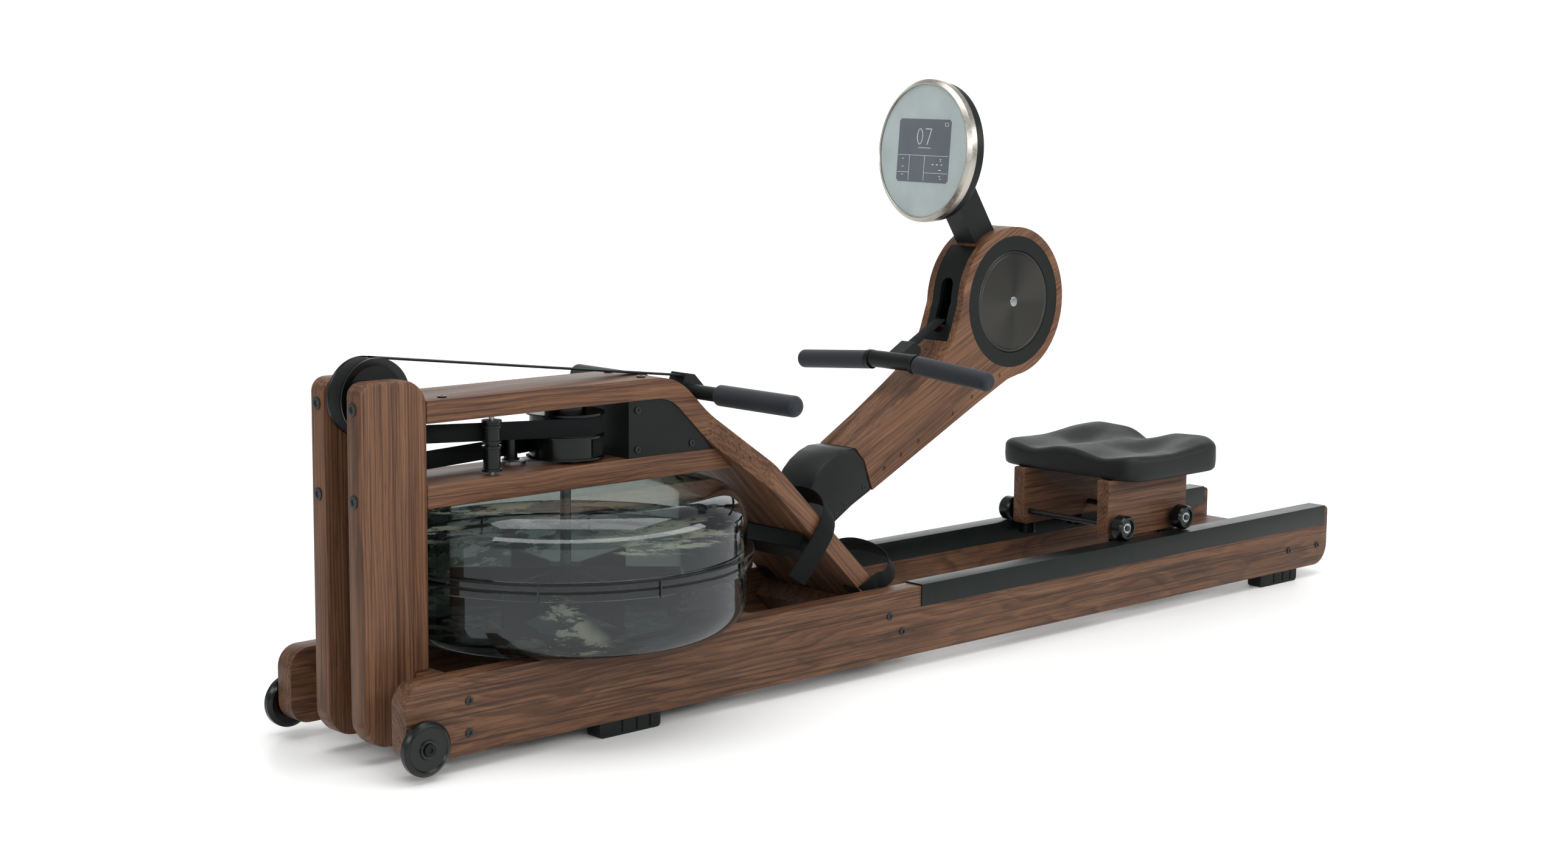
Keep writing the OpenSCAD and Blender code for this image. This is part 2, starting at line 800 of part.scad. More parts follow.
// Strap reel inside the head
module reel() {
    color("#14181a") placed() y_turned(head_pos, [
        [0, -30.6], [10, -30.6], [10, -20], [78, -20], [78, -16], [60, -16], [60, 16], [78, 16],
        [78, 20], [10, 20], [10, 30.6], [0, 30.6]
    ]);
}

module stem() {
    color(black_plastic) placed() {
        difference() {
            along_y(-stem_w / 2, stem_w / 2) polygon(
                let (n = [stem_dir.y, -stem_dir.x] * stem_d / 2, low = stem_base - 10 * stem_dir,
                     high = stem_base + stem_len * stem_dir)
                [low - n, low + n, high + n, high - n]
            );
            y_rod(head_pos, head_r, -50, 50);
        }
        difference() {
            translate([swivel_x, 0, 750]) cylinder(r = 9, h = 41);
            along_y(-10, 10) polygon(
                let (n = [stem_dir.y, -stem_dir.x] * 30, high = stem_base + stem_len * stem_dir)
                [high - n - 20 * stem_dir, high + n - 20 * stem_dir, high + n, high - n]
            );
        }
    }
}

// ---------------------------------------------------------------- arm handle

// Slanting grip: a round bar from the inner ring out to the drooping end
module arm_grip_axis() {
    droop = atan2(arm_bar_pos.y - 3 - arm_grip_z, arm_grip_end - arm_grip_y0);
    translate([arm_bar_pos.x, arm_grip_y0, arm_bar_pos.y - 3]) rotate([-90 - droop, 0, 0]) children();
}

module arm_handle_bar() {
    color(black_plastic) placed() difference() {
        union() {
            y_rod(arm_bar_pos, arm_bar_r, -50, 50);
            for (side = [-1, 1]) on_side(side) y_rod(arm_bar_pos - [0, 1.5], 16, 46, 54);
            along_y(-15, 15) polygon(rounded(
                [[18, 460], [40, 465], [70, 479], [70, 488], [56, 499], [26, 482]], [4, 8, 4, 2, 2, 6]
            ));
        }
        for (side = [-1, 1]) on_side(side) arm_grip_axis()
            translate([0, 0, -5.5]) cylinder(r = 40, h = 60);
    }
}

module arm_handle_grips() {
    len = arm_grip_end - arm_grip_y0;
    color("#2a3036") placed() for (side = [-1, 1]) on_side(side) arm_grip_axis()
        translate([0, 0, -5.5]) rotate_extrude() polygon(rounded(
            [[0, 0], [arm_grip_r, 0], [arm_grip_r, len + 5], [0, len + 5]], [0, 2, 8, 0]
        ));
}

module arm_strap() {
    path = [[slot_pos.x, 0, slot_pos.y], [64.4, 0, 494.5]];
    color("#22282b") placed() ribbon(path, [[0, 1, 0], [0, 1, 0]], 24, strap_t);
}

// ---------------------------------------------------------------- monitor

// Turns the monitor and its knuckle about the stem's upright pin
module turned_monitor() {
    placed() translate([swivel_x, 0, 0]) rotate([0, 0, -monitor_turn]) translate([-swivel_x, 0, 0]) children();
}

module console_knuckle() {
    color(black_plastic) turned_monitor() difference() {
        union() {
            translate([swivel_x, 0, 780]) cylinder(r = 15, h = 18);
            along_y(-7, 7) polygon([
                [swivel_x, 780], [swivel_x, 798], tilt_pos + [2, 11], tilt_pos + [-4, 0], tilt_pos + [3, -11]
            ]);
            y_rod(tilt_pos, 11, -7, 7);
        }
        translate([swivel_x, 0, 760]) cylinder(r = 9 + run_gap, h = 32);
        y_rod(tilt_pos, 4 + run_gap, -10, 10);
    }
}

// Puts a part turned about Z onto the monitor, face towards -X
module on_monitor() {
    translate([monitor_pos.x, 0, monitor_pos.y]) rotate([0, monitor_tilt - 90, 0]) children();
}

module console_shell() {
    color(black_plastic) turned_monitor() {
        on_monitor() rotate_extrude($fn = 96) polygon([
            [0, -34], [94, -34], [104, -32], [109, -27], [111, -20], [monitor_r - 3.5, -8.1],
            [monitor_r - 8.4, -8.1],
            [monitor_r - 8.4, -4], [0, -4]
        ]);
        for (side = [-1, 1]) on_side(side) difference() {
            union() {
                along_y(7.3, 12) polygon([
                    tilt_pos + [0, 9], tilt_pos + [0, -9], tilt_pos + [-15.5, -16], tilt_pos + [-17.5, 16]
                ]);
                y_rod(tilt_pos, 9, 7.3, 12);
            }
            on_monitor() translate([0, 0, -34]) cylinder(r = 62, h = 30);
        }
        y_rod(tilt_pos, 4, -12, 12);
    }
}

module console_rim() {
    color("#b9bdbd") turned_monitor() on_monitor() rotate_extrude($fn = 96) polygon([
        [monitor_r - 8.3, -7.8], [monitor_r - 3, -8], [monitor_r, -5], [monitor_r, 1],
        [monitor_r - 4, 4], [monitor_r - 8.3, 2]
    ]);
}

module console_glass() {
    color("#9fb0ab") turned_monitor() on_monitor() translate([0, 0, -3.9])
        cylinder(r = monitor_r - 8.4, h = 4.2, $fn = 96);
}

// ---------------------------------------------------------------- seat

module seat_cushion() {
    r = 40;
    color("#1d2021") placed() hull() {
        for (x = [cushion_x0 + r, cushion_x0 + cushion_len - r], y = [r - cushion_w / 2, cushion_w / 2 - r]) {
            translate([x, y, cushion_z0]) cylinder(r = r - 6, h = 6, $fn = 32);
            translate([x, y, cushion_z0 + 10]) cylinder(r = r, h = 22, $fn = 32);
            translate([x, y, cushion_z0 + 40]) cylinder(r = r - 12, h = x < 500 ? 4 : 14, $fn = 32);
        }
    }
}

module seat_blocks() {
    color("#26292b") placed() for (side = [-1, 1]) on_side(side) difference() {
        along_y(block_y0, block_y1) polygon(rounded(
            box_outline(block_x0, block_x1, rail_z1 + 2.6, cushion_z0), [8, 8, 4, 4]
        ));
        for (x = [front_axle_x, rear_axle_x]) y_rod([x, axle_z], axle_r, 0, 200);
        for (x = guide_x) translate([x, guide_y, 120]) cylinder(r = 4, h = 40);
    }
}

// Two cross axles and the pins of the guide rollers
module seat_axles() {
    color("#a6abad") placed() {
        for (x = [front_axle_x, rear_axle_x]) y_rod([x, axle_z], axle_r, -wheel_y0 - wheel_w, wheel_y0 + wheel_w);
        for (side = [-1, 1], x = guide_x) translate([x, side * guide_y, 110.5]) {
            cylinder(r = 4, h = 44.5);
            cylinder(r = 7, h = 2);
        }
        for (side = [-1, 1], x = [front_axle_x, rear_axle_x]) on_side(side)
            y_rod([x, axle_z], 9, block_y1, wheel_y0 - clear_gap);
    }
}

module seat_wheel(x, side) {
    color("#1b1d1e") placed() on_side(side) y_turned([x, axle_z], [
        [axle_r + run_gap, wheel_y0], [13, wheel_y0], [18, wheel_y0 + 1], [wheel_r, wheel_y0 + 4],
        [wheel_r, wheel_y0 + wheel_w - 4], [19, wheel_y0 + wheel_w], [15, wheel_y0 + wheel_w],
        [14, wheel_y0 + wheel_w - 3], [axle_r + run_gap, wheel_y0 + wheel_w - 3]
    ]);
}

module seat_guide(x, side) {
    color("#1b1d1e") placed() translate([x, side * guide_y, 113]) difference() {
        cylinder(r = guide_r, h = rail_z1 - 112 + 1.1);
        translate([0, 0, -1]) cylinder(r = 4 + run_gap, h = 40);
    }
}

// ---------------------------------------------------------------- pieces made in pairs

module rail_left() { rail(-1); }
module rail_right() { rail(1); }
module post_left() { post(-1); }
module post_right() { post(1); }
module arm_cheek_left() { arm_cheek(-1); }
module arm_cheek_right() { arm_cheek(1); }
module transport_wheel_left() { transport_wheel(-1); }
module transport_wheel_right() { transport_wheel(1); }
module seat_wheel_front_left() { seat_wheel(front_axle_x, -1); }
module seat_guide_front_left() { seat_guide(guide_x[0], -1); }
module seat_wheel_front_right() { seat_wheel(front_axle_x, 1); }
module seat_guide_front_right() { seat_guide(guide_x[0], 1); }
module seat_wheel_rear_left() { seat_wheel(rear_axle_x, -1); }
module seat_guide_rear_left() { seat_guide(guide_x[1], -1); }
module seat_wheel_rear_right() { seat_wheel(rear_axle_x, 1); }
module seat_guide_rear_right() { seat_guide(guide_x[1], 1); }

rail_left();
rail_right();
rail_caps();
cross_boards();
post_left();
post_right();
deck_footboard();
mid_deck();
drive_cover();
feet();
frame_screws();
tank_lower();
tank_upper();
tank_seal();
water();
pulley_axles();
drive_strap();
recoil_strap();
foot_straps();
strap_bar();
arm_housing();
arm_cheek_left();
arm_cheek_right();
arm_panels();
head_band();
head_front_cover();
head_side_rings();
head_side_discs();
stem();
handle_strap();
arm_strap();
transport_wheel_left();
transport_wheel_right();
impeller();
drive_shaft();
top_pulley();
drive_drums();
strap_idler();
guide_roller();
recoil_pulley();
handle_bar();
handle_grips();
arm_handle_bar();
arm_handle_grips();
reel();
console_knuckle();
console_shell();
console_rim();
console_glass();
seat_cushion();
seat_blocks();
seat_axles();
seat_wheel_front_left();
seat_wheel_front_right();
seat_wheel_rear_left();
seat_wheel_rear_right();
seat_guide_front_left();
seat_guide_front_right();
seat_guide_rear_left();
seat_guide_rear_right();
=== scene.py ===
"""Looks of the water rowing machine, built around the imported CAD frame.

Metres, +Z up. X runs along the machine (tank end at -X), Y across it, the camera's side is -Y.
"""

import json
import math

import bmesh
import bpy
from mathutils import Euler, Matrix, Vector


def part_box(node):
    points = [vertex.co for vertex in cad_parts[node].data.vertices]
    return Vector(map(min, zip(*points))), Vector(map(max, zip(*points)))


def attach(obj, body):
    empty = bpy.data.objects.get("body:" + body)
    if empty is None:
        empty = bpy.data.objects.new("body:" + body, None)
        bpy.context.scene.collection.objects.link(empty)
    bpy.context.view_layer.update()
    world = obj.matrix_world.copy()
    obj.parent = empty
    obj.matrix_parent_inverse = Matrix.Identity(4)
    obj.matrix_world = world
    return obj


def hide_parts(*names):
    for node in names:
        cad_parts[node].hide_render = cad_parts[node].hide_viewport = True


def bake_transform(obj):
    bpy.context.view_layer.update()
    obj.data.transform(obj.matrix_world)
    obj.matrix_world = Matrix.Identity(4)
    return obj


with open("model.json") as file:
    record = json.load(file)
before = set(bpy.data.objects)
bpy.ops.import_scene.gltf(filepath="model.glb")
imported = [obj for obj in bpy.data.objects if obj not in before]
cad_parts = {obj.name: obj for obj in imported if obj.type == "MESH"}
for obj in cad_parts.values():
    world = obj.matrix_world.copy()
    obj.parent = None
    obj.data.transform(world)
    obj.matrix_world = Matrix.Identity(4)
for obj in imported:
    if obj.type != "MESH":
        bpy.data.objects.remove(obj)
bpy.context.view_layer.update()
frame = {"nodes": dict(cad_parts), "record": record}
NODES = frame["nodes"]
BODY_OF = {n: b for b, ns in frame["record"]["behaviour"]["bodies"].items() for n in ns}
SLOT_OF = {s["node"]: s["material_slot"] for s in frame["record"]["subparts"]}
# The middle of the rails lies this far along +X from the frame's origin
SHIFT = 0.007
# Slope of the footboard
SLOPE = math.radians(43.8)


# ---------------------------------------------------------------- material nodes


class Mat:
    """A material with short helpers for its nodes."""

    def __init__(self, name):
        self.mat = bpy.data.materials.new(name)
        self.mat.use_nodes = True
        self.tree = self.mat.node_tree
        self.tree.nodes.clear()
        self.out = self.tree.nodes.new("ShaderNodeOutputMaterial")

    def node(self, kind, inputs=None, **attrs):
        n = self.tree.nodes.new(kind)
        for k, v in attrs.items():
            setattr(n, k, v)
        for k, v in (inputs or {}).items():
            self.put(n.inputs[k], v)
        return n

    def put(self, socket, value):
        if isinstance(value, bpy.types.NodeSocket):
            self.tree.links.new(value, socket)
        elif isinstance(value, bpy.types.Node):
            self.tree.links.new(value.outputs[0], socket)
        else:
            socket.default_value = value

    def math(self, op, a, b=0.0, clamp=False):
        return self.node("ShaderNodeMath", {0: a, 1: b}, operation=op, use_clamp=clamp)

    def vmath(self, op, a, b=(0, 0, 0)):
        return self.node("ShaderNodeVectorMath", {0: a, 1: b}, operation=op)

    def coords(self, kind="Object", scale=(1, 1, 1), rotation=(0, 0, 0), location=(0, 0, 0)):
        tc = self.node("ShaderNodeTexCoord")
        return self.node(
            "ShaderNodeMapping",
            {0: tc.outputs[kind], "Location": location, "Rotation": rotation, "Scale": scale},
        )

    def noise(self, vector, scale, detail=3.0, rough=0.55):
        return self.node(
            "ShaderNodeTexNoise",
            {"Vector": vector, "Scale": scale, "Detail": detail, "Roughness": rough},
        )

    def ramp(self, fac, stops, interpolation):
        """Grey ramp; stops holds (position, value)."""
        n = self.node("ShaderNodeValToRGB", {0: fac})
        ramp = n.color_ramp
        ramp.interpolation = interpolation
        while len(ramp.elements) < len(stops):
            ramp.elements.new(0.5)
        for e, (pos, value) in zip(ramp.elements, stops):
            e.position = pos
            e.color = (value, value, value, 1)
        return n

    def mix(self, fac, a, b):
        n = self.node("ShaderNodeMix", data_type="RGBA")
        for i, v in ((0, fac), (6, a), (7, b)):
            self.put(n.inputs[i], (*v, 1) if isinstance(v, tuple) and len(v) == 3 else v)
        return n.outputs[2]

    def range(self, value, lo, hi, a=0.0, b=1.0):
        return self.node("ShaderNodeMapRange", {0: value, 1: a, 2: b, 3: lo, 4: hi})

    def bump(self, height, strength, distance):
        inputs = {"Height": height, "Strength": strength, "Distance": distance}
        return self.node("ShaderNodeBump", inputs)

    def principled(self, **inputs):
        n = self.node("ShaderNodeBsdfPrincipled")
        for key, v in inputs.items():
            self.put(n.inputs[key.replace("_", " ")], (*v, 1) if isinstance(v, tuple) else v)
        self.put(self.out.inputs[0], n)
        return n


def srgb(hexa):
    """Linear colour of a #rrggbb string."""
    v = [int(hexa[i : i + 2], 16) / 255 for i in (1, 3, 5)]
    return tuple(x / 12.92 if x <= 0.04045 else ((x + 0.055) / 1.055) ** 2.4 for x in v)


def wood(name, heart, tone, rotation=(0, 0, 0), seed=(0, 0, 0), rings=150.0, wander=0.05):
    """Oiled walnut. rotation turns the grain onto the board; heart is the trunk's centre beside it."""
    m = Mat(name)
    p = m.coords(rotation=rotation, location=seed)
    slow = m.node("ShaderNodeMapping", {0: p, "Scale": (1.1, 4.0, 4.0)})
    drift = m.noise(slow, 2.2, 2.0, 0.5)
    centred = m.vmath("SUBTRACT", drift.outputs["Color"], (0.5, 0.5, 0.5))
    sway = m.vmath("MULTIPLY", centred, (0.0, wander, wander))
    q = m.vmath("ADD", p, sway)
    xyz = m.node("ShaderNodeSeparateXYZ", {0: q})
    y = m.math("ADD", xyz.outputs[1], heart[0])
    z = m.math("ADD", xyz.outputs[2], heart[1])
    r = m.math("SQRT", m.math("ADD", m.math("MULTIPLY", y, y), m.math("MULTIPLY", z, z)))
    fray = m.noise(m.node("ShaderNodeMapping", {0: p, "Scale": (3.0, 60.0, 60.0)}), 2.0, 4.0, 0.6)
    turns = m.math("ADD", m.math("MULTIPLY", r, rings), m.math("MULTIPLY", fray, 1.3))
    saw = m.math("FRACT", turns)
    ring = m.ramp(saw, [(0.0, 0.3), (0.35, 0.6), (0.78, 0.9), (0.93, 0.42), (1.0, 0.3)], "EASE")
    bands = m.noise(m.node("ShaderNodeMapping", {0: q, "Scale": (0.5, 34.0, 34.0)}), 1.6, 4.0, 0.62)
    fibre = m.noise(m.node("ShaderNodeMapping", {0: p, "Scale": (6.0, 520.0, 520.0)}), 1.0, 4.0, 0.7)
    streak = m.noise(m.node("ShaderNodeMapping", {0: p, "Scale": (3.0, 330.0, 330.0)}), 1.0, 3.0, 0.6)
    pores = m.noise(m.node("ShaderNodeMapping", {0: p, "Scale": (30.0, 1100.0, 1100.0)}), 1.0, 1.0, 0.5)
    dash = m.range(pores, 0.0, 1.0, 0.60, 0.72)
    dark, mid, pale = (tuple(c * tone for c in srgb(h)) for h in ("#38251b", "#6d4a34", "#926c4f"))
    base = m.mix(ring, dark, mid)
    base = m.mix(m.range(bands, 0.0, 0.42, 0.42, 0.72), base, pale)
    base = m.mix(m.range(bands, 0.6, 0.0, 0.22, 0.44), base, tuple(c * 0.85 for c in dark))
    base = m.mix(m.range(streak, 0.0, 0.8, 0.5, 0.66), base, tuple(c * 0.72 for c in dark))
    base = m.mix(m.range(fibre, 0.40, 0.0, 0.3, 0.62), base, tuple(c * 0.5 for c in dark))
    base = m.mix(m.math("MULTIPLY", dash, 0.5), base, tuple(c * 0.32 for c in dark))
    height = m.math("SUBTRACT", m.math("MULTIPLY", fibre, 0.5), dash)
    m.principled(
        Base_Color=base,
        Roughness=m.range(fibre, 0.38, 0.54, 0.3, 0.7),
        Specular_IOR_Level=0.24,
        Normal=m.bump(height, 0.2, 0.0004),
    )
    return m.mat


def coated(name, colour, rough, grain=900.0, bump=0.12, metallic=0.0, spec=0.22, sheen=0.0):
    """Powder coat or moulded plastic: a fine grain, slight wear in the shine."""
    m = Mat(name)
    p = m.coords()
    fine = m.noise(p, grain, 2.0, 0.5)
    wear = m.noise(p, 9.0, 4.0, 0.6)
    worn = tuple(c * 1.25 + 0.002 for c in colour)
    m.principled(
        Base_Color=m.mix(m.range(wear, 0.0, 1.0, 0.35, 0.7), colour, worn),
        Roughness=m.range(wear, rough - 0.05, rough + 0.06, 0.3, 0.7),
        Metallic=metallic,
        Specular_IOR_Level=spec,
        Sheen_Weight=sheen,
        Normal=m.bump(fine, bump, 0.0005),
    )
    return m.mat


def brushed(name, colour, rough, scale=(4.0, 900.0, 900.0)):
    """Metal with fine lines along X."""
    m = Mat(name)
    p = m.coords(scale=scale)
    lines = m.noise(p, 1.0, 3.0, 0.6)
    m.principled(
        Base_Color=m.mix(lines, tuple(c * 0.82 for c in colour), colour),
        Roughness=m.range(lines, rough - 0.06, rough + 0.08, 0.3, 0.7),
        Metallic=1.0,
        Normal=m.bump(lines, 0.08, 0.0003),
    )
    return m.mat


def round_brushed(name, colour, rough):
    """Turned metal: fine circles about the piece's own Y axis, with the fan of light they give."""
    m = Mat(name)
    p = m.coords()
    xyz = m.node("ShaderNodeSeparateXYZ", {0: p})
    u, v = xyz.outputs[0], xyz.outputs[2]
    r = m.math("SQRT", m.math("ADD", m.math("MULTIPLY", u, u), m.math("MULTIPLY", v, v)))
    lines = m.noise(m.node("ShaderNodeCombineXYZ", {0: m.math("MULTIPLY", r, 1400.0)}), 1.0, 2.0, 0.6)
    tangent = m.node("ShaderNodeTangent", direction_type="RADIAL", axis="Y")
    m.principled(
        Base_Color=m.mix(lines, tuple(c * 0.7 for c in colour), colour),
        Roughness=rough,
        Metallic=1.0,
        Anisotropic=0.93,
        Tangent=tangent.outputs[0],
        Normal=m.bump(lines, 0.05, 0.0002),
    )
    return m.mat


def leather(name, colour):
    """Black leatherette with a fine pebble."""
    m = Mat(name)
    p = m.coords()
    cells = m.node("ShaderNodeTexVoronoi", {"Vector": p, "Scale": 620.0}, feature="DISTANCE_TO_EDGE")
    soft = m.noise(p, 14.0, 3.0, 0.6)
    m.principled(
        Base_Color=m.mix(m.range(soft, 0.0, 1.0, 0.3, 0.7), colour, tuple(c * 1.2 for c in colour)),
        Roughness=m.range(soft, 0.46, 0.58, 0.3, 0.7),
        Specular_IOR_Level=0.3,
        Normal=m.bump(m.range(cells, 0.0, 1.0, 0.0, 0.2), 0.10, 0.0003),
    )
    return m.mat


def webbing(name, colour):
    """Woven strap: ribs across and along, from the strap's own UV in metres."""
    m = Mat(name)
    tc = m.node("ShaderNodeTexCoord")
    xyz = m.node("ShaderNodeSeparateXYZ", {0: tc.outputs["UV"]})
    along = m.math("SINE", m.math("MULTIPLY", xyz.outputs[0], 2 * math.pi / 0.0016))
    across = m.math("SINE", m.math("MULTIPLY", xyz.outputs[1], 2 * math.pi / 0.0022))
    weave = m.math("MULTIPLY", along, across)
    fuzz = m.noise(m.coords("UV", (400, 400, 1)), 1.0, 2.0, 0.6)
    low, high = (tuple(c * k for c in colour) for k in (0.6, 1.35))
    m.principled(
        Base_Color=m.mix(m.range(weave, 0.0, 1.0, -1.0, 1.0), low, high),
        Roughness=m.range(fuzz, 0.6, 0.75, 0.3, 0.7),
        Specular_IOR_Level=0.12,
        Sheen_Weight=0.02,
        Normal=m.bump(weave, 0.35, 0.0004),
    )
    return m.mat


def smoked(name):
    """Thin clear wall, smoked: tint straight through, mirror glints by angle."""
    m = Mat(name)
    p = m.coords()
    swirl = m.noise(p, 5.0, 2.0, 0.5)
    tint = m.mix(swirl, (0.44, 0.48, 0.46), (0.54, 0.57, 0.55))
    clear = m.node("ShaderNodeBsdfTransparent", {0: tint})
    gloss = m.node(
        "ShaderNodeBsdfGlossy",
        {"Color": (0.92, 0.94, 0.97, 1), "Roughness": m.range(swirl, 0.02, 0.05)},
    )
    fresnel = m.math("MULTIPLY", m.node("ShaderNodeFresnel", {"IOR": 1.55}), 0.95, True)
    m.put(m.out.inputs[0], m.node("ShaderNodeMixShader", {0: fresnel, 1: clear, 2: gloss}))
    return m.mat


def water_look(name):
    """Water behind the smoked wall: dark and clear, with torn bright patches of moving light."""
    m = Mat(name)
    p = m.coords()
    flow = m.noise(m.node("ShaderNodeMapping", {0: p, "Scale": (1.0, 1.0, 1.6)}), 4.0, 3.0, 0.6)
    q = m.vmath("ADD", p, m.vmath("MULTIPLY", flow.outputs["Color"], (0.10, 0.10, 0.05)))
    tilt = m.node(
        "ShaderNodeMapping",
        {0: q, "Rotation": (0.0, math.radians(24), 0.0), "Scale": (13.0, 13.0, 34.0)},
    )
    torn = m.noise(tilt, 1.0, 6.0, 0.72)
    area = m.noise(p, 4.6, 2.0, 0.5)
    lit = m.range(torn, 0.0, 1.0, 0.50, 0.54)
    light = m.math("MULTIPLY", lit, m.range(area, 0.0, 1.0, 0.48, 0.53))
    bright = m.mix(torn, (0.35, 0.33, 0.28), (0.95, 0.90, 0.76))
    tint = m.mix(flow, (0.50, 0.56, 0.55), (0.66, 0.72, 0.74))
    murk = m.mix(flow, (0.012, 0.016, 0.015), (0.06, 0.07, 0.075))
    glow = m.node("ShaderNodeBsdfDiffuse", {"Color": bright})
    clear = m.node("ShaderNodeBsdfTransparent", {0: tint})
    mist = m.node("ShaderNodeBsdfDiffuse", {"Color": murk})
    deep = m.node("ShaderNodeMixShader", {0: 0.30, 1: clear, 2: mist})
    shown = m.math("MULTIPLY", light, 0.8)
    m.put(m.out.inputs[0], m.node("ShaderNodeMixShader", {0: shown, 1: deep, 2: glow}))
    return m.mat


M = {
    "rail_wood": wood(
        "rail_wood", (-0.03, 0.02), 0.9, seed=(0.0, 0.14, -0.07), rings=120.0, wander=0.1
    ),
    "post_wood": wood(
        "post_wood", (0.04, 0.93), 1.12, (0, math.radians(90), 0), (0.3, 0.0, 0.0), 190.0, 0.022
    ),
    "block_wood": wood("block_wood", (0.0, -0.31), 1.0, seed=(0.4, 0.02, 0.03)),
    "deck_wood": wood("deck_wood", (0.02, -0.52), 1.12, seed=(0.7, 0.0, 0.0)),
    "slope_wood": wood("slope_wood", (0.03, -0.2), 1.12, (0, -SLOPE, 0), (0.2, 0.0, 0.0)),
    "arm_wood": wood("arm_wood", (0.0, -0.3), 1.15, (0, math.radians(26), 0), (0.1, 0.05, 0.0)),
    "cap_metal": coated("cap_metal", srgb("#0b1110"), 0.34, 1400.0, 0.05, spec=0.2),
    "black_metal": coated("black_metal", srgb("#0a0e0e"), 0.42, 1200.0, 0.08),
    "black_cover": coated("black_cover", srgb("#090e0d"), 0.40, 700.0, 0.14),
    "wheel_black": coated("wheel_black", srgb("#060808"), 0.22, 800.0, 0.03, spec=0.3),
    "paddle_black": coated("paddle_black", srgb("#121819"), 0.35, 500.0, 0.05),
    "foot_rubber": coated("foot_rubber", srgb("#0a0e0d"), 0.62, 500.0, 0.2),
    "seal_rubber": coated("seal_rubber", srgb("#080a0a"), 0.5, 500.0, 0.1),
    "grip_rubber": coated("grip_rubber", srgb("#15191f"), 0.55, 700.0, 0.25, sheen=0.15),
    "screw_steel": coated("screw_steel", srgb("#14181a"), 0.33, 900.0, 0.05, metallic=0.6),
    "axle_steel": brushed("axle_steel", srgb("#a6abad"), 0.28),
    "clip_metal": brushed("clip_metal", srgb("#3c4142"), 0.3),
    "tank_clear": smoked("tank_clear"),
    "water_clear": water_look("water_clear"),
    "webbing": webbing("webbing", srgb("#0a0d0e")),
    "spun_metal": round_brushed("spun_metal", srgb("#4b4a47"), 0.27),
    "rim_nickel": brushed("rim_nickel", srgb("#b9b4ab"), 0.3, (260.0, 260.0, 260.0)),
    "screen_glass": coated("screen_glass", srgb("#9aa5a4"), 0.16, 60.0, 0.01, spec=0.4),
    "screen_dark": coated("screen_dark", srgb("#565c63"), 0.12, 60.0, 0.01, spec=0.5),
    "screen_pale": coated("screen_pale", srgb("#c3cbca"), 0.3, 60.0, 0.01),
    "rod_black": coated("rod_black", srgb("#0b0e0f"), 0.3, 900.0, 0.03, spec=0.4),
    "seat_leather": leather("seat_leather", srgb("#070909")),
}


def dress(obj, mat):
    obj.data.materials.clear()
    obj.data.materials.append(mat if isinstance(mat, bpy.types.Material) else M[mat])
    return obj


for name, obj in NODES.items():
    dress(obj, SLOT_OF[name])


# ---------------------------------------------------------------- pieces


def link(name, mesh):
    obj = bpy.data.objects.new(name, mesh)
    bpy.context.scene.collection.objects.link(obj)
    return obj


def soft_copy(node, width, mat=None):
    """The CAD piece with its sharp edges eased, in place of the hard-edged one."""
    sharp, name = math.radians(32), node + "_eased"
    bm = bmesh.new()
    bm.from_mesh(NODES[node].data)
    bmesh.ops.remove_doubles(bm, verts=bm.verts, dist=2e-6)
    bmesh.ops.dissolve_limit(bm, angle_limit=math.radians(1.0), verts=bm.verts, edges=bm.edges)
    edges = [e for e in bm.edges if len(e.link_faces) == 2 and e.calc_face_angle(0) > sharp]
    bmesh.ops.bevel(
        bm, geom=edges, offset=width, offset_type="OFFSET", segments=2, profile=0.6,
        affect="EDGES", clamp_overlap=True, harden_normals=False,
    )
    mesh = bpy.data.meshes.new(name)
    bm.to_mesh(mesh)
    bm.free()
    for p in mesh.polygons:
        p.use_smooth = True
    mesh.set_sharp_from_angle(angle=math.radians(35))
    obj = link(name, mesh)
    dress(obj, mat or SLOT_OF[node])
    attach(obj, BODY_OF[node])
    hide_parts(node)
    return obj


# ---------------------------------------------------------------- own shapes


def mesh_from(name, verts, faces, uvs=None):
    mesh = bpy.data.meshes.new(name)
    mesh.from_pydata(verts, [], faces)
    if uvs:
        layer = mesh.uv_layers.new(name="uv")
        for poly in mesh.polygons:
            for li in poly.loop_indices:
                layer.data[li].uv = uvs[mesh.loops[li].vertex_index]
    for poly in mesh.polygons:
        poly.use_smooth = True
    return mesh


def piece(name, mesh, slot, body, mat=None, replaces=(), sharp=None):
    """A visible piece on a body, in place of the named CAD nodes; sharp is in degrees."""
    obj = link(name, mesh)
    if sharp:
        mesh.set_sharp_from_angle(angle=math.radians(sharp))
    dress(obj, mat or slot)
    if body:
        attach(obj, body)
    if replaces:
        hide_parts(*replaces)
    return obj


def mm(x, y, z):
    """A point given in millimetres from the rails' middle."""
    return Vector((x / 1000 + SHIFT, y / 1000, z / 1000))


def spline(points, steps):
    """Points of a smooth curve through the given ones."""
    pts = [Vector(p) for p in points]
    out = []
    for i in range(len(pts) - 1):
        p0, p1, p2, p3 = (pts[min(max(i + k, 0), len(pts) - 1)] for k in (-1, 0, 1, 2))
        for k in range(steps):
            t = k / steps
            out.append(
                0.5 * ((2 * p1) + (p2 - p0) * t + (2 * p0 - 5 * p1 + 4 * p2 - p3) * t * t
                       + (3 * p1 - p0 - 3 * p2 + p3) * t * t * t)
            )
    return out + [pts[-1]]


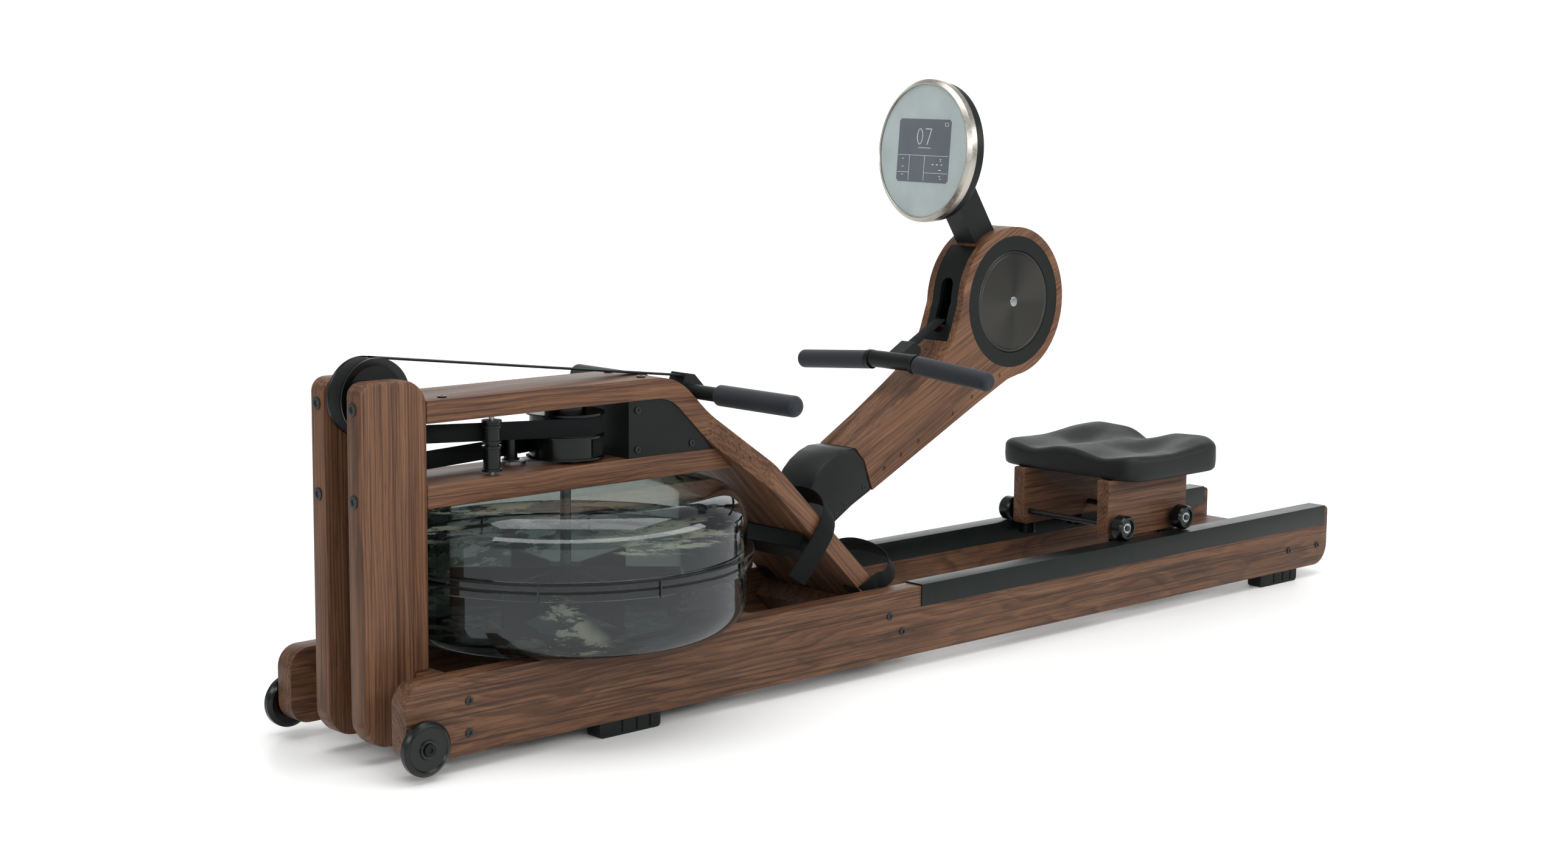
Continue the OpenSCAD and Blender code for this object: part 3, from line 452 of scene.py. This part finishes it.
def ribbon(name, path, wide, width, thick):
    """Flat strap along path; wide holds the direction of its width at each point. UV in metres."""
    section = [(-1, -1), (-0.94, -1), (0.94, -1), (1, -1), (1, 1), (0.94, 1), (-0.94, 1), (-1, 1)]
    verts, uvs, faces = [], [], []
    run = 0.0
    n = len(path)
    for i, p in enumerate(path):
        t = (path[min(i + 1, n - 1)] - path[max(i - 1, 0)]).normalized()
        w = (wide[i] - t * wide[i].dot(t)).normalized()
        up = t.cross(w)
        if i:
            run += (p - path[i - 1]).length
        for a, b in section:
            edge = 0.55 if abs(a) == 1 else 1.0
            verts.append(p + w * a * width / 2 + up * b * edge * thick / 2)
            uvs.append((run, a * width / 2))
    m = len(section)
    for i in range(n - 1):
        for j in range(m):
            a, b = i * m + j, i * m + (j + 1) % m
            faces.append((a, b, b + m, a + m))
    faces += [tuple(range(m))[::-1], tuple((n - 1) * m + j for j in range(m))]
    return mesh_from(name, verts, faces, uvs)


def lathe(name, profile, centre, axis="Z", segments=128):
    """Turned shape: profile holds (radius, distance along the axis); radius 0 closes it."""
    turn = Matrix.Rotation(math.radians(-90), 3, "X") if axis == "Y" else Matrix.Identity(3)
    verts, faces, rings = [], [], []
    for r, h in profile:
        if r < 1e-7:
            rings.append([len(verts)])
            verts.append(turn @ Vector((0, 0, h)) + centre)
            continue
        rings.append(list(range(len(verts), len(verts) + segments)))
        for k in range(segments):
            a = 2 * math.pi * k / segments
            verts.append(turn @ Vector((r * math.cos(a), r * math.sin(a), h)) + centre)
    for a, b in zip(rings, rings[1:]):
        for k in range(segments):
            q = [a[k % len(a)], a[(k + 1) % len(a)], b[(k + 1) % len(b)], b[k % len(b)]]
            q = [v for i, v in enumerate(q) if v not in q[:i]]
            if len(q) > 2:
                faces.append(tuple(q))
    mesh = mesh_from(name, verts, faces)
    bm = bmesh.new()
    bm.from_mesh(mesh)
    bmesh.ops.recalc_face_normals(bm, faces=bm.faces)
    bm.to_mesh(mesh)
    bm.free()
    return mesh


def smooth_profile(points, radii, n=5):
    """Profile with rounded corners: one radius for each point, 0 at the ends."""
    out = []
    for i, (p, r) in enumerate(zip(points, radii)):
        p = Vector(p)
        if r <= 0:
            out.append(tuple(p))
            continue
        a, b = (Vector(points[i - 1]) - p).normalized(), (Vector(points[i + 1]) - p).normalized()
        half = math.acos(max(-1, min(1, a.dot(b)))) / 2
        c = p + (a + b).normalized() * r / math.sin(half)
        s, e = p + a * r / math.tan(half) - c, p + b * r / math.tan(half) - c
        a0 = math.atan2(s.y, s.x)
        d = (math.atan2(e.y, e.x) - a0 + 3 * math.pi) % (2 * math.pi) - math.pi
        turns = [a0 + d * k / n for k in range(n + 1)]
        out += [(c.x + r * math.cos(t), c.y + r * math.sin(t)) for t in turns]
    return out


# ---------------------------------------------------------------- seat cushion


def seat_top(u, v):
    """Height of the moulded top in metres: u from front -1 to rear 1, v across from -1 to 1."""

    def bell(x, c, w):
        return math.exp(-(((x - c) / w) ** 2))

    def rise(x, a, b):
        t = min(1.0, max(0.0, (x - a) / (b - a)))
        return t * t * (3 - 2 * t)

    side = abs(v)
    h = 0.0475
    h -= 0.017 * bell(side, 0.46, 0.30) * bell(u, 0.15, 0.62)
    h -= 0.010 * bell(side, 0.50, 0.26) * rise(-u, 0.1, 0.9)
    h += 0.003 * rise(side, 0.7, 1.0) * rise(-u, 0.3, 0.9)
    h += 0.013 * rise(u, -0.15, 0.65) * (1 - bell(v, 0.0, 0.24)) * (1 - 0.5 * rise(side, 0.72, 1.0))
    h -= 0.012 * bell(v, 0.0, 0.2) * rise(u, 0.35, 1.0)
    h -= 0.004 * rise(side, 0.6, 1.0) * (1 - 0.5 * rise(u, 0.3, 0.9))
    return h


def seat_cushion():
    """Cushion with the moulded top, as large as the CAD's plain one."""
    lo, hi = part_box("seat_cushion")
    cx = (lo.x + hi.x) / 2
    a, b, z0 = (hi.x - lo.x) / 2, (hi.y - lo.y) / 2, lo.z
    seg, power = 128, 7.5
    verts, faces = [], []

    def outline(k, f, inset=0.0):
        t = 2 * math.pi * k / seg
        c, s = math.cos(t), math.sin(t)
        r = (abs(c) ** power + abs(s) ** power) ** (-1 / power)
        return f * c * r * (a - inset), f * s * r * (b - inset)

    # Underside and wall, as (share of the outline, inset, height)
    rings = [(0.55, 0.010, 0.0), (1.0, 0.009, 0.0), (1.0, 0.005, 0.001),
             (1.0, 0.0022, 0.004), (1.0, 0.0012, 0.010), (1.0, 0.0006, 0.018)]
    for f, inset, h in rings:
        for k in range(seg):
            x, y = outline(k, f, inset)
            verts.append((cx + x, y, z0 + h))
    # Rounded top edge, then the moulded top
    edge = 0.013
    for j in range(9):
        t = math.pi / 2 * j / 8
        for k in range(seg):
            x, y = outline(k, 1.0, 0.001 + edge * (1 - math.cos(t)))
            top = seat_top(x / a, y / b)
            verts.append((cx + x, y, z0 + top - edge * (1 - math.sin(t))))
    for f in (0.97, 0.92, 0.86, 0.8, 0.72, 0.64, 0.56, 0.48, 0.4, 0.32, 0.24, 0.16, 0.08):
        for k in range(seg):
            x, y = outline(k, f, 0.001 + edge)
            verts.append((cx + x, y, z0 + seat_top(x / a, y / b)))
    n = len(verts) // seg
    for i in range(n - 1):
        for k in range(seg):
            low, high, after = i * seg, (i + 1) * seg, (k + 1) % seg
            faces.append((low + k, low + after, high + after, high + k))
    verts.append((cx, 0.0, z0 + seat_top(0, 0)))
    last = (n - 1) * seg
    faces += [(last + k, last + (k + 1) % seg, len(verts) - 1) for k in range(seg)]
    faces.append(tuple(range(seg))[::-1])
    mesh = mesh_from("seat_pad", verts, faces)
    obj = piece("seat_pad", mesh, "seat_leather", "seat", replaces=["seat_cushion"])


# ---------------------------------------------------------------- straps


DOWN = Vector((math.cos(SLOPE), 0, -math.sin(SLOPE)))
OUT = Vector((math.sin(SLOPE), 0, math.cos(SLOPE)))
ACROSS = Vector((0, 1, 0))


def on_slope(s, y, n):
    """Point over the footboard: distance down the slope, across, off its face, all in mm."""
    return mm(-332.1, 0, 330.6) + DOWN * s / 1000 + OUT * n / 1000 + ACROSS * y / 1000


def foot_straps():
    parts = []
    for side in (-1, 1):
        # Toe strap: over the foot, round the board's edge, its tail hanging free behind
        toe = [(98, 33, 2), (98, 35, 16), (100, 45, 29), (104, 62, 35), (109, 85, 35),
               (113, 105, 27), (117, 118, 13), (120, 123.5, -2), (123, 124.5, -16),
               (128, 122, -45), (133, 117, -74), (138, 112, -98)]
        path = spline([on_slope(s, side * y, n) for s, y, n in toe], 6)
        wide = [(DOWN - OUT * 0.12).normalized() for _ in path]
        parts.append(ribbon(f"toe_strap_{side}", path, wide, 0.037, 0.0022))
        # Heel loop: stands up in an arch from the board's face to its edge
        heel = [(222, 46, 1), (227, 50, 22), (244, 62, 42), (268, 80, 54), (289, 98, 54),
                (296, 112, 38), (287, 120, 16), (273, 122, 2), (267, 121.5, -14),
                (262, 112, -32.2), (260, 88, -32.2)]
        path = spline([on_slope(s, side * y, n) for s, y, n in heel], 6)
        wide = [(DOWN + ACROSS * side * -0.15).normalized() for _ in path]
        parts.append(ribbon(f"heel_strap_{side}", path, wide, 0.028, 0.0022))
    for i, mesh in enumerate(parts):
        stands_for = ["foot_straps"] if i == 0 else ()
        piece(f"foot_strap_{i}", mesh, "webbing", "frame", replaces=stands_for, sharp=60)


def drive_straps():
    """Top pulley to drum and drum to front board, each with its quarter turn."""
    drum_x, lift, width = -660.0, 53.05, 0.026
    over = [math.radians(97 + 4.8 * i) for i in range(37)]
    under = [math.radians(180 - 6 * i) for i in range(16)]
    for name, x0, top_z, r, side, z1, arc, tail in (
        ("drive_strap", -996.0, 439.95, 54.05, -1, 428.2, over, None),
        ("recoil_strap", -987.0, 394.95, 23.55, 1, 396.2, under, 122.0),
    ):
        cz = top_z + r if side < 0 else top_z - r
        pts, wide = [], []
        if tail:
            pts.append(mm(x0 - r, 0, tail))
            wide.append(ACROSS.copy())
        for a in arc:
            pts.append(mm(x0 + r * math.cos(a), 0, cz + r * math.sin(a)))
            wide.append(ACROSS.copy())
        a0 = math.acos(lift / (drum_x - x0))
        length = drum_x - lift * math.cos(a0) - x0
        for i in range(1, 25):
            k = i / 24
            x = x0 + length * k
            t = min(1.0, (k + 0.04) / 0.32)
            t = t * t * (3 - 2 * t)
            pts.append(mm(x, side * (x - x0) / math.tan(a0), top_z + (z1 - top_z) * k))
            wide.append(Vector((0, math.cos(t * math.pi / 2), math.sin(t * math.pi / 2))))
        for i in range(1, 41):
            a = a0 + math.radians(4.5 * i)
            pts.append(mm(drum_x - lift * math.cos(a), side * lift * math.sin(a), z1))
            wide.append(Vector((0, 0, 1)))
        mesh = ribbon(name, pts, wide, width, 0.0016)
        piece(name + "_woven", mesh, "webbing", "frame", replaces=[name], sharp=60)


def pull_straps():
    """Straight runs from the machine to each handle, fixed in place."""
    for name, body, a, b, w in (
        ("handle_strap", "handle", (-988, 0, 547.6), (-446.5, 0, 482), 0.026),
        ("arm_strap", "arm_handle", (131, 0, 530), (64.4, 0, 494.5), 0.024),
    ):
        start, end = mm(*a), mm(*b)
        pts = [start.lerp(end, i / 24) for i in range(25)]
        mesh = ribbon(name, pts, [ACROSS] * len(pts), w, 0.0026)
        obj = piece(name + "_woven", mesh, "webbing", None, replaces=[name], sharp=60)
        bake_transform(obj)


# ---------------------------------------------------------------- tank


def tank():
    """Clear walls, rim line, clips and the water, all turned about the tank's axis."""
    c = mm(-660, 0, 0)
    for name, profile, radii in (
        ("tank_upper",
         [(0.022, 0.336), (0.265, 0.336), (0.265, 0.247),
          (0.273, 0.247), (0.273, 0.236), (0.262, 0.236)],
         [0, 0.045, 0.002, 0.0012, 0.001, 0]),
        ("tank_lower",
         [(0.262, 0.233), (0.273, 0.233), (0.273, 0.222),
          (0.265, 0.222), (0.265, 0.131), (0.0, 0.131)],
         [0, 0.001, 0.0012, 0.002, 0.045, 0]),
    ):
        mesh = lathe(name, smooth_profile(profile, radii, 12), c, segments=192)
        piece(name + "_wall", mesh, "tank_clear", "frame", replaces=[name])
    # Line of the moulded rim and the clips that close the flange
    outline = [(0.2735, 0.2475), (0.2752, 0.2475), (0.2752, 0.2445), (0.2735, 0.2445)]
    rim = smooth_profile(outline, [0, 0.0006, 0.0006, 0], 3)
    mesh = lathe("tank_rim_line", rim, c, segments=192)
    piece("tank_rim_line", mesh, "seal_rubber", "frame")
    clips, clip_r, clip_size = 10, 0.2742, (0.0018, 0.0032, 0.027, 1)
    bm = bmesh.new()
    for k in range(clips):
        a = math.radians(360 / clips * k + 224)
        at = c + Vector((clip_r * math.cos(a), clip_r * math.sin(a), 0.2345))
        m = Matrix.Translation(at) @ Matrix.Rotation(a, 4, "Z")
        bmesh.ops.create_cube(bm, size=1.0, matrix=m @ Matrix.Diagonal(clip_size))
    bmesh.ops.bevel(bm, geom=list(bm.edges), offset=0.0007, segments=2, affect="EDGES")
    mesh = bpy.data.meshes.new("tank_clips")
    bm.to_mesh(mesh)
    bm.free()
    piece("tank_clips", mesh, "axle_steel", "frame", mat="clip_metal")
    outline = [(0.0, 0.270), (0.260, 0.270), (0.260, 0.136), (0.0, 0.136)]
    mesh = lathe("water_body", smooth_profile(outline, [0, 0.004, 0.040, 0], 12), c, segments=160)
    piece("water_body", mesh, "water_clear", "frame", replaces=["water"])


# ---------------------------------------------------------------- head disc and wheel hubs


def spun_discs():
    """Turned face and plain hub on each side of the round head."""
    c = mm(268, 0, 555)
    lo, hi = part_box("head_side_discs")
    disc = [(0.0, 0.0), (0.0795, 0.0), (0.0802, -0.0007), (0.0810, -0.0007),
            (0.0817, 0.0), (0.0850, 0.0), (0.0862, -0.0012), (0.0862, -0.0060)]
    knob = smooth_profile([(0.0, 0.0012), (0.0085, 0.0012), (0.0085, -0.001)], [0, 0.0008, 0], 3)
    for side in (-1, 1):
        y = hi.y if side > 0 else lo.y
        mesh = lathe(f"spun_disc_{side}", disc, Vector((0, 0, 0)), "Y", 160)
        hub = lathe(f"disc_hub_{side}", knob, Vector((0, 0, 0)), "Y", 48)
        if side < 0:
            mesh.transform(Matrix.Rotation(math.pi, 4, "Z"))
            hub.transform(Matrix.Rotation(math.pi, 4, "Z"))
        stands_for = ["head_side_discs"] if side < 0 else ()
        name = f"spun_disc_{side}"
        obj = piece(name, mesh, "spun_metal", "frame", replaces=stands_for, sharp=25)
        obj.location = (c.x, y, c.z)
        hub.transform(Matrix.Translation((c.x, y, c.z)))
        piece(f"disc_hub_{side}", hub, "axle_steel", "frame", sharp=30)


def wheel_hubs():
    """Bright ring in the outer face of each seat wheel."""
    prof = [(0.0045, 0.1398), (0.0088, 0.1398), (0.0094, 0.1392),
            (0.0094, 0.1388), (0.0045, 0.1388), (0.0045, 0.1398)]
    for e in ("front", "rear"):
        for side, word in ((-1, "left"), (1, "right")):
            node = f"seat_wheel_{e}_{word}"
            lo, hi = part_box(node)
            c = (lo + hi) / 2
            mesh = lathe(node + "_hub", prof, Vector((0, 0, 0)), "Y", 48)
            if side < 0:
                mesh.transform(Matrix.Rotation(math.pi, 4, "Z"))
            mesh.transform(Matrix.Translation((c.x, 0, c.z)))
            piece(node + "_hub", mesh, "axle_steel", BODY_OF[node], sharp=30)


# ---------------------------------------------------------------- screws, hubs, rollers


def islands(mesh):
    """Corner points of each separate solid of a mesh, as (lowest, highest)."""
    bm = bmesh.new()
    bm.from_mesh(mesh)
    bmesh.ops.remove_doubles(bm, verts=bm.verts, dist=1e-6)
    left, out = set(bm.verts), []
    for start in bm.verts:
        if start not in left:
            continue
        left.remove(start)
        group, queue = [], [start]
        while queue:
            v = queue.pop()
            group.append(v.co.copy())
            for e in v.link_edges:
                w = e.other_vert(v)
                if w in left:
                    left.remove(w)
                    queue.append(w)
        corners = (Vector([pick(c[k] for c in group) for k in range(3)]) for pick in (min, max))
        out.append(tuple(corners))
    bm.free()
    return out


def facing(mesh, axis, sign):
    """Turn a shape made along +Z to look along an axis."""
    turns = (Matrix.Rotation(math.radians(90 * sign), 4, "Y"),
             Matrix.Rotation(math.radians(-90 * sign), 4, "X"), Matrix.Identity(4))
    mesh.transform(turns[axis])
    return mesh


def socket_head(name, r, at, axis, sign, depth):
    """Button head: a rounded ring about a round socket."""
    outline = [(r, -0.0004), (r, 0.0008), (0.5 * r, 0.0008), (0.44 * r, -depth), (0.0, -depth)]
    prof = smooth_profile(outline, [0, 0.0006, 0.0003, 0, 0], 3)
    mesh = facing(lathe(name, prof, Vector((0, 0, 0)), "Z", 36), axis, sign)
    mesh.transform(Matrix.Translation(at))
    return mesh


def frame_screw_heads():
    """A button head over each screw of the CAD; its wheel bolts are longer and get hubs instead."""
    bm = bmesh.new()
    for lo, hi in islands(NODES["frame_screws"].data):
        size, c = hi - lo, (lo + hi) / 2
        axis = min(range(3), key=lambda k: size[k])
        if axis == 2 and size[2] > 0.6 * size[0]:
            continue
        sign = {0: -1, 1: 1 if c.y > 0 else -1, 2: 1}[axis]
        at = c.copy()
        at[axis] = (hi if sign > 0 else lo)[axis]
        r = max(size) / 2
        mesh = socket_head("head", r * 1.12, at, axis, sign, 0.0005)
        bm.from_mesh(mesh)
        bpy.data.meshes.remove(mesh)
    mesh = bpy.data.meshes.new("screw_heads")
    bm.to_mesh(mesh)
    bm.free()
    for face in mesh.polygons:
        face.use_smooth = True
    piece("screw_heads", mesh, "screw_steel", "frame", mat="rod_black", sharp=40)


def housing_screws():
    """Three small screws on each side of the arm's moulded foot."""
    lo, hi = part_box("arm_housing")
    places = ((-84.5, 275.5), (-125.5, 251.5), (-147.0, 239.0))
    spots = [(sign, y, x, z) for sign, y in ((-1, lo.y), (1, hi.y)) for x, z in places]
    for k, (sign, y, x, z) in enumerate(spots):
        at = mm(x, 0, z)
        at.y = y
        mesh = socket_head("housing_screw", 0.0042, at, 1, sign, 0.0012)
        piece(f"housing_screw_{k}", mesh, "screw_steel", "frame", mat="rod_black", sharp=40)


def transport_hubs():
    """Stepped hub on the outer face of each transport wheel."""
    outline = [(0.0122, -0.0008), (0.0122, 0.0006), (0.0095, 0.0006), (0.0088, -0.0002),
               (0.0050, -0.0002), (0.0044, 0.0004), (0.0026, 0.0004), (0.0022, -0.0012),
               (0.0, -0.0012)]
    prof = smooth_profile(outline, [0, 0.0005, 0.0003, 0.0002, 0.0002, 0.0003, 0.0002, 0, 0], 3)
    for word, sign in (("left", -1), ("right", 1)):
        lo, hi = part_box("transport_wheel_" + word)
        c = (lo + hi) / 2
        y = lo.y if sign < 0 else hi.y
        mesh = facing(lathe("hub", prof, Vector((0, 0, 0)), "Z", 48), 1, sign)
        mesh.transform(Matrix.Translation((c.x, y + sign * 0.0002, c.z)))
        name = "transport_hub_" + word
        piece(name, mesh, "wheel_black", "wheel_" + word, mat="rod_black", sharp=30)


def ribbed_idler():
    """Upright strap guide with raised bands."""
    lo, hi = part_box("strap_idler")
    c, r, h = (lo + hi) / 2, (hi.x - lo.x) / 2, hi.z - lo.z
    # Shares of the radius and of the height
    shares = [(0, 0), (1, 0), (1, 0.05), (0.86, 0.06), (0.86, 0.44), (0.97, 0.45), (0.97, 0.50),
              (0.7, 0.51), (0.7, 0.55), (0.97, 0.56), (0.97, 0.60), (0.86, 0.61), (0.86, 0.84),
              (1, 0.85), (1, 0.90), (0.9, 0.91), (0.9, 0.94), (1, 0.95), (1, 1), (0, 1)]
    prof = [(a * r, b * h) for a, b in shares]
    mesh = lathe("idler", prof, Vector((c.x, c.y, lo.z)), segments=48)
    piece("ribbed_idler", mesh, "wheel_black", "idler", replaces=["strap_idler"], sharp=25)


# ---------------------------------------------------------------- monitor


def monitor_matrix():
    """Place of the monitor's face: x up, y to the viewer's left, z out of the face."""
    turn = Matrix.Rotation(math.radians(-6), 4, "Z")
    pivot = Matrix.Translation(mm(153, 0, 0))
    place = Matrix.Translation(mm(91, 0, 809.5))
    return pivot @ turn @ pivot.inverted() @ place @ Matrix.Rotation(math.radians(4.2 - 90), 4, "Y")


def plate(bm, m, x0, x1, y0, y1, z0, z1):
    """Box in the monitor's own frame."""
    size = Matrix.Diagonal((x1 - x0, y1 - y0, z1 - z0, 1))
    middle = Matrix.Translation(((x0 + x1) / 2, (y0 + y1) / 2, (z0 + z1) / 2))
    bmesh.ops.create_cube(bm, size=1.0, matrix=m @ middle @ size)


def stroke(bm, m, pts, w, z0, z1):
    """Thin line through points given as (right, up) on the face."""
    for (r0, u0), (r1, u1) in zip(pts, pts[1:]):
        d = math.hypot(r1 - r0, u1 - u0)
        a = math.atan2(u1 - u0, r1 - r0)
        middle = Matrix.Translation(((u0 + u1) / 2, -(r0 + r1) / 2, (z0 + z1) / 2))
        at = middle @ Matrix.Rotation(a - math.pi / 2, 4, "Z")
        size = Matrix.Diagonal((d + w, w, z1 - z0, 1))
        bmesh.ops.create_cube(bm, size=1.0, matrix=m @ at @ size)


def monitor_rim(m):
    """Nickel rim and the rounded edge of the shell behind it."""
    outline = [(0.1084, 0.0010), (0.1084, 0.0030), (0.1100, 0.0042),
               (0.1168, -0.0015), (0.1170, -0.0125), (0.1100, -0.0130)]
    prof = smooth_profile(outline, [0, 0.0004, 0.0008, 0.0012, 0.0005, 0], 4)
    rim = lathe("monitor_rim", prof, Vector((0, 0, 0)), segments=160)
    rim.transform(m)
    piece("monitor_rim", rim, "rim_nickel", "monitor", replaces=["console_rim"], sharp=30)
    outline = [(0.1080, -0.0122), (0.1138, -0.0122), (0.1138, -0.0300),
               (0.1050, -0.0352), (0.0900, -0.0352)]
    prof = smooth_profile(outline, [0, 0.0008, 0.004, 0.003, 0], 5)
    shell = lathe("monitor_shell_edge", prof, Vector((0, 0, 0)), segments=160)
    shell.transform(m)
    piece("monitor_shell_edge", shell, "black_cover", "monitor", sharp=40)


def monitor():
    """Rim, screen and the plain marks on it."""
    m = monitor_matrix()
    monitor_rim(m)
    face = 0.0003
    bm = bmesh.new()
    plate(bm, m, -0.0515, 0.0515, -0.0645, 0.0645, face - 0.002, face + 0.0004)
    mesh = bpy.data.meshes.new("screen")
    back = m.to_3x3().inverted()
    edges = [e for e in bm.edges if abs((back @ (e.verts[0].co - e.verts[1].co)).z) > 1e-4]
    bmesh.ops.bevel(bm, geom=edges, offset=0.003, segments=4, affect="EDGES")
    bm.to_mesh(mesh)
    bm.free()
    piece("screen", mesh, "screen_glass", "monitor", mat="screen_dark")
    bm = bmesh.new()
    z0, z1, w = face, face + 0.0007, 0.0006
    for r0, u0, r1, u1 in (
        (-0.062, -0.008, 0.062, -0.008), (-0.034, -0.008, -0.034, -0.049),
        (0.004, -0.008, 0.004, -0.049), (0.004, -0.036, 0.062, -0.036),
        (-0.062, -0.036, -0.034, -0.036),
    ):
        stroke(bm, m, [(r0, u0), (r1, u1)], w, z0, z1)
    # Generic figures: a zero and a seven made of thin strokes, small ticks below
    turns = [2 * math.pi * k / 20 for k in range(21)]
    zero = [(0.0065 * math.cos(t), 0.0125 * math.sin(t)) for t in turns]
    stroke(bm, m, [(-0.011 + x, 0.023 + y) for x, y in zero], 0.0014, z0, z1)
    stroke(bm, m, [(0.003, 0.0355), (0.017, 0.0355), (0.008, 0.0105)], 0.0014, z0, z1)
    for k in range(7):
        stroke(bm, m, [(-0.012 + 0.0045 * k, 0.0045), (-0.0105 + 0.0045 * k, 0.0045)], 0.0012, z0, z1)
    for k in range(3):
        stroke(bm, m, [(0.024 + 0.011 * k, -0.022), (0.0265 + 0.011 * k, -0.022)], 0.0014, z0, z1)
        stroke(bm, m, [(-0.052, -0.014 - 0.013 * k), (-0.048, -0.014 - 0.013 * k)], 0.0009, z0, z1)
    for r, u in ((0.044, -0.013), (0.044, -0.016), (0.042, -0.031), (0.045, -0.031),
                 (0.044, -0.041), (0.046, -0.045)):
        stroke(bm, m, [(r - 0.001, u), (r + 0.001, u)], 0.0012, z0, z1)
    box = [(0.050, 0.046), (0.058, 0.046), (0.058, 0.041), (0.050, 0.041), (0.050, 0.046)]
    stroke(bm, m, box, 0.0006, z0, z1)
    mesh = bpy.data.meshes.new("screen_marks")
    bm.to_mesh(mesh)
    bm.free()
    piece("screen_marks", mesh, "screen_glass", "monitor", mat="screen_pale")


# ---------------------------------------------------------------- studio and camera


def studio():
    """A pale floor that curves up behind, soft light from above and both sides."""
    facing_wall = math.radians(-43)
    m = Mat("studio_floor")
    p = m.coords()
    haze = m.noise(p, 0.7, 2.0, 0.5)
    m.principled(
        Base_Color=m.mix(haze, (0.88, 0.885, 0.875), (0.92, 0.92, 0.91)),
        Roughness=m.range(haze, 0.30, 0.42),
        Specular_IOR_Level=0.35,
        Normal=m.bump(m.noise(p, 30.0, 2.0, 0.5), 0.01, 0.001),
    )
    mesh = bpy.data.meshes.new("studio")
    back, side, top, r, n = 9.0, 14.0, 7.0, 2.5, 12
    prof = [(-12.0, 0.0), (back - r, 0.0)]
    bend = [math.pi / 2 * i / n for i in range(1, n + 1)]
    prof += [(back - r + r * math.sin(t), r - r * math.cos(t)) for t in bend]
    prof += [(back, top)]
    verts, faces = [], []
    for d, h in prof:
        for s in (-side, side):
            verts.append((s, d, h))
    for i in range(len(prof) - 1):
        faces.append((2 * i, 2 * i + 1, 2 * i + 3, 2 * i + 2))
    mesh.from_pydata(verts, [], faces)
    for poly in mesh.polygons:
        poly.use_smooth = True
    floor = link("studio_sweep", mesh)
    floor.rotation_euler = (0, 0, facing_wall)
    dress(floor, m.mat)

    world = bpy.data.worlds.new("studio_world")
    bpy.context.scene.world = world
    world.use_nodes = True
    background = world.node_tree.nodes["Background"]
    background.inputs[0].default_value = (0.97, 0.985, 1.0, 1)
    background.inputs[1].default_value = 0.5

    def lamp(name, where, aim, size, watts):
        light = bpy.data.lights.new(name, "AREA")
        light.shape = "RECTANGLE"
        light.size, light.size_y = size
        light.energy = watts
        o = bpy.data.objects.new(name, light)
        o.location = where
        o.rotation_euler = (Vector(aim) - Vector(where)).to_track_quat("-Z", "Y").to_euler()
        bpy.context.scene.collection.objects.link(o)

    lamp("overhead", (-0.4, -0.4, 4.2), (0, 0, 0.2), (5.0, 3.2), 150)
    for k in range(6):
        turn = math.radians(-162 + 24 * k)
        where = (-0.5 + 5.0 * math.cos(turn), 5.0 * math.sin(turn), 2.3)
        lamp(f"panel_{k}", where, (-0.5, 0, 0.35), (2.14, 1.15), 36)
    for k, across in (("left", -4.0), ("middle", 0.0), ("right", 4.0)):
        turn = Matrix.Rotation(facing_wall, 3, "Z")
        where, aim = turn @ Vector((across, 4.6, 5.0)), turn @ Vector((across, 9.0, 1.2))
        lamp("wall_" + k, where, aim, (3.0, 1.5), 150)


def camera():
    cam = bpy.data.cameras.new("camera")
    cam.lens, cam.sensor_width = 55.78, 36.0
    cam.clip_end = 60
    o = bpy.data.objects.new("camera", cam)
    az, pitch, roll = (math.radians(v) for v in (-43.424, 8.246, 0.551))
    level = math.cos(pitch)
    back = Vector((math.sin(az) * level, -math.cos(az) * level, math.sin(pitch)))
    aim = (-back).to_track_quat("-Z", "Y")
    o.rotation_mode = "QUATERNION"
    o.rotation_quaternion = aim @ Euler((0, 0, roll)).to_quaternion()
    o.location = (-2.8225 + SHIFT, -2.7456, 0.9291)
    bpy.context.scene.collection.objects.link(o)
    bpy.context.scene.camera = o


# How far the edges of each CAD piece are eased
EASED = {
    "rail_left": 0.004, "rail_right": 0.004, "post_left": 0.005, "post_right": 0.005,
    "mid_deck": 0.002, "cross_boards": 0.002, "arm_cheek_left": 0.006,
    "arm_cheek_right": 0.006, "rail_caps": 0.0006, "feet": 0.0015, "arm_housing": 0.006,
}
# The deck bends down into the footboard here, and its grain turns with it
DECK_BEND = -0.432 + SHIFT
for name, width in EASED.items():
    soft_copy(name, width)
soft_copy("seat_blocks", 0.003, mat="block_wood")
board = soft_copy("deck_footboard", 0.003, mat="deck_wood")
board.data.materials.append(M["slope_wood"])
for face in board.data.polygons:
    face.material_index = int(face.center.x > DECK_BEND)
seat_cushion()
foot_straps()
drive_straps()
pull_straps()
tank()
monitor()
spun_discs()
wheel_hubs()
frame_screw_heads()
housing_screws()
transport_hubs()
ribbed_idler()
dress(NODES["seat_axles"], "rod_black")

studio()
camera()
bpy.context.scene.view_settings.view_transform = "Standard"
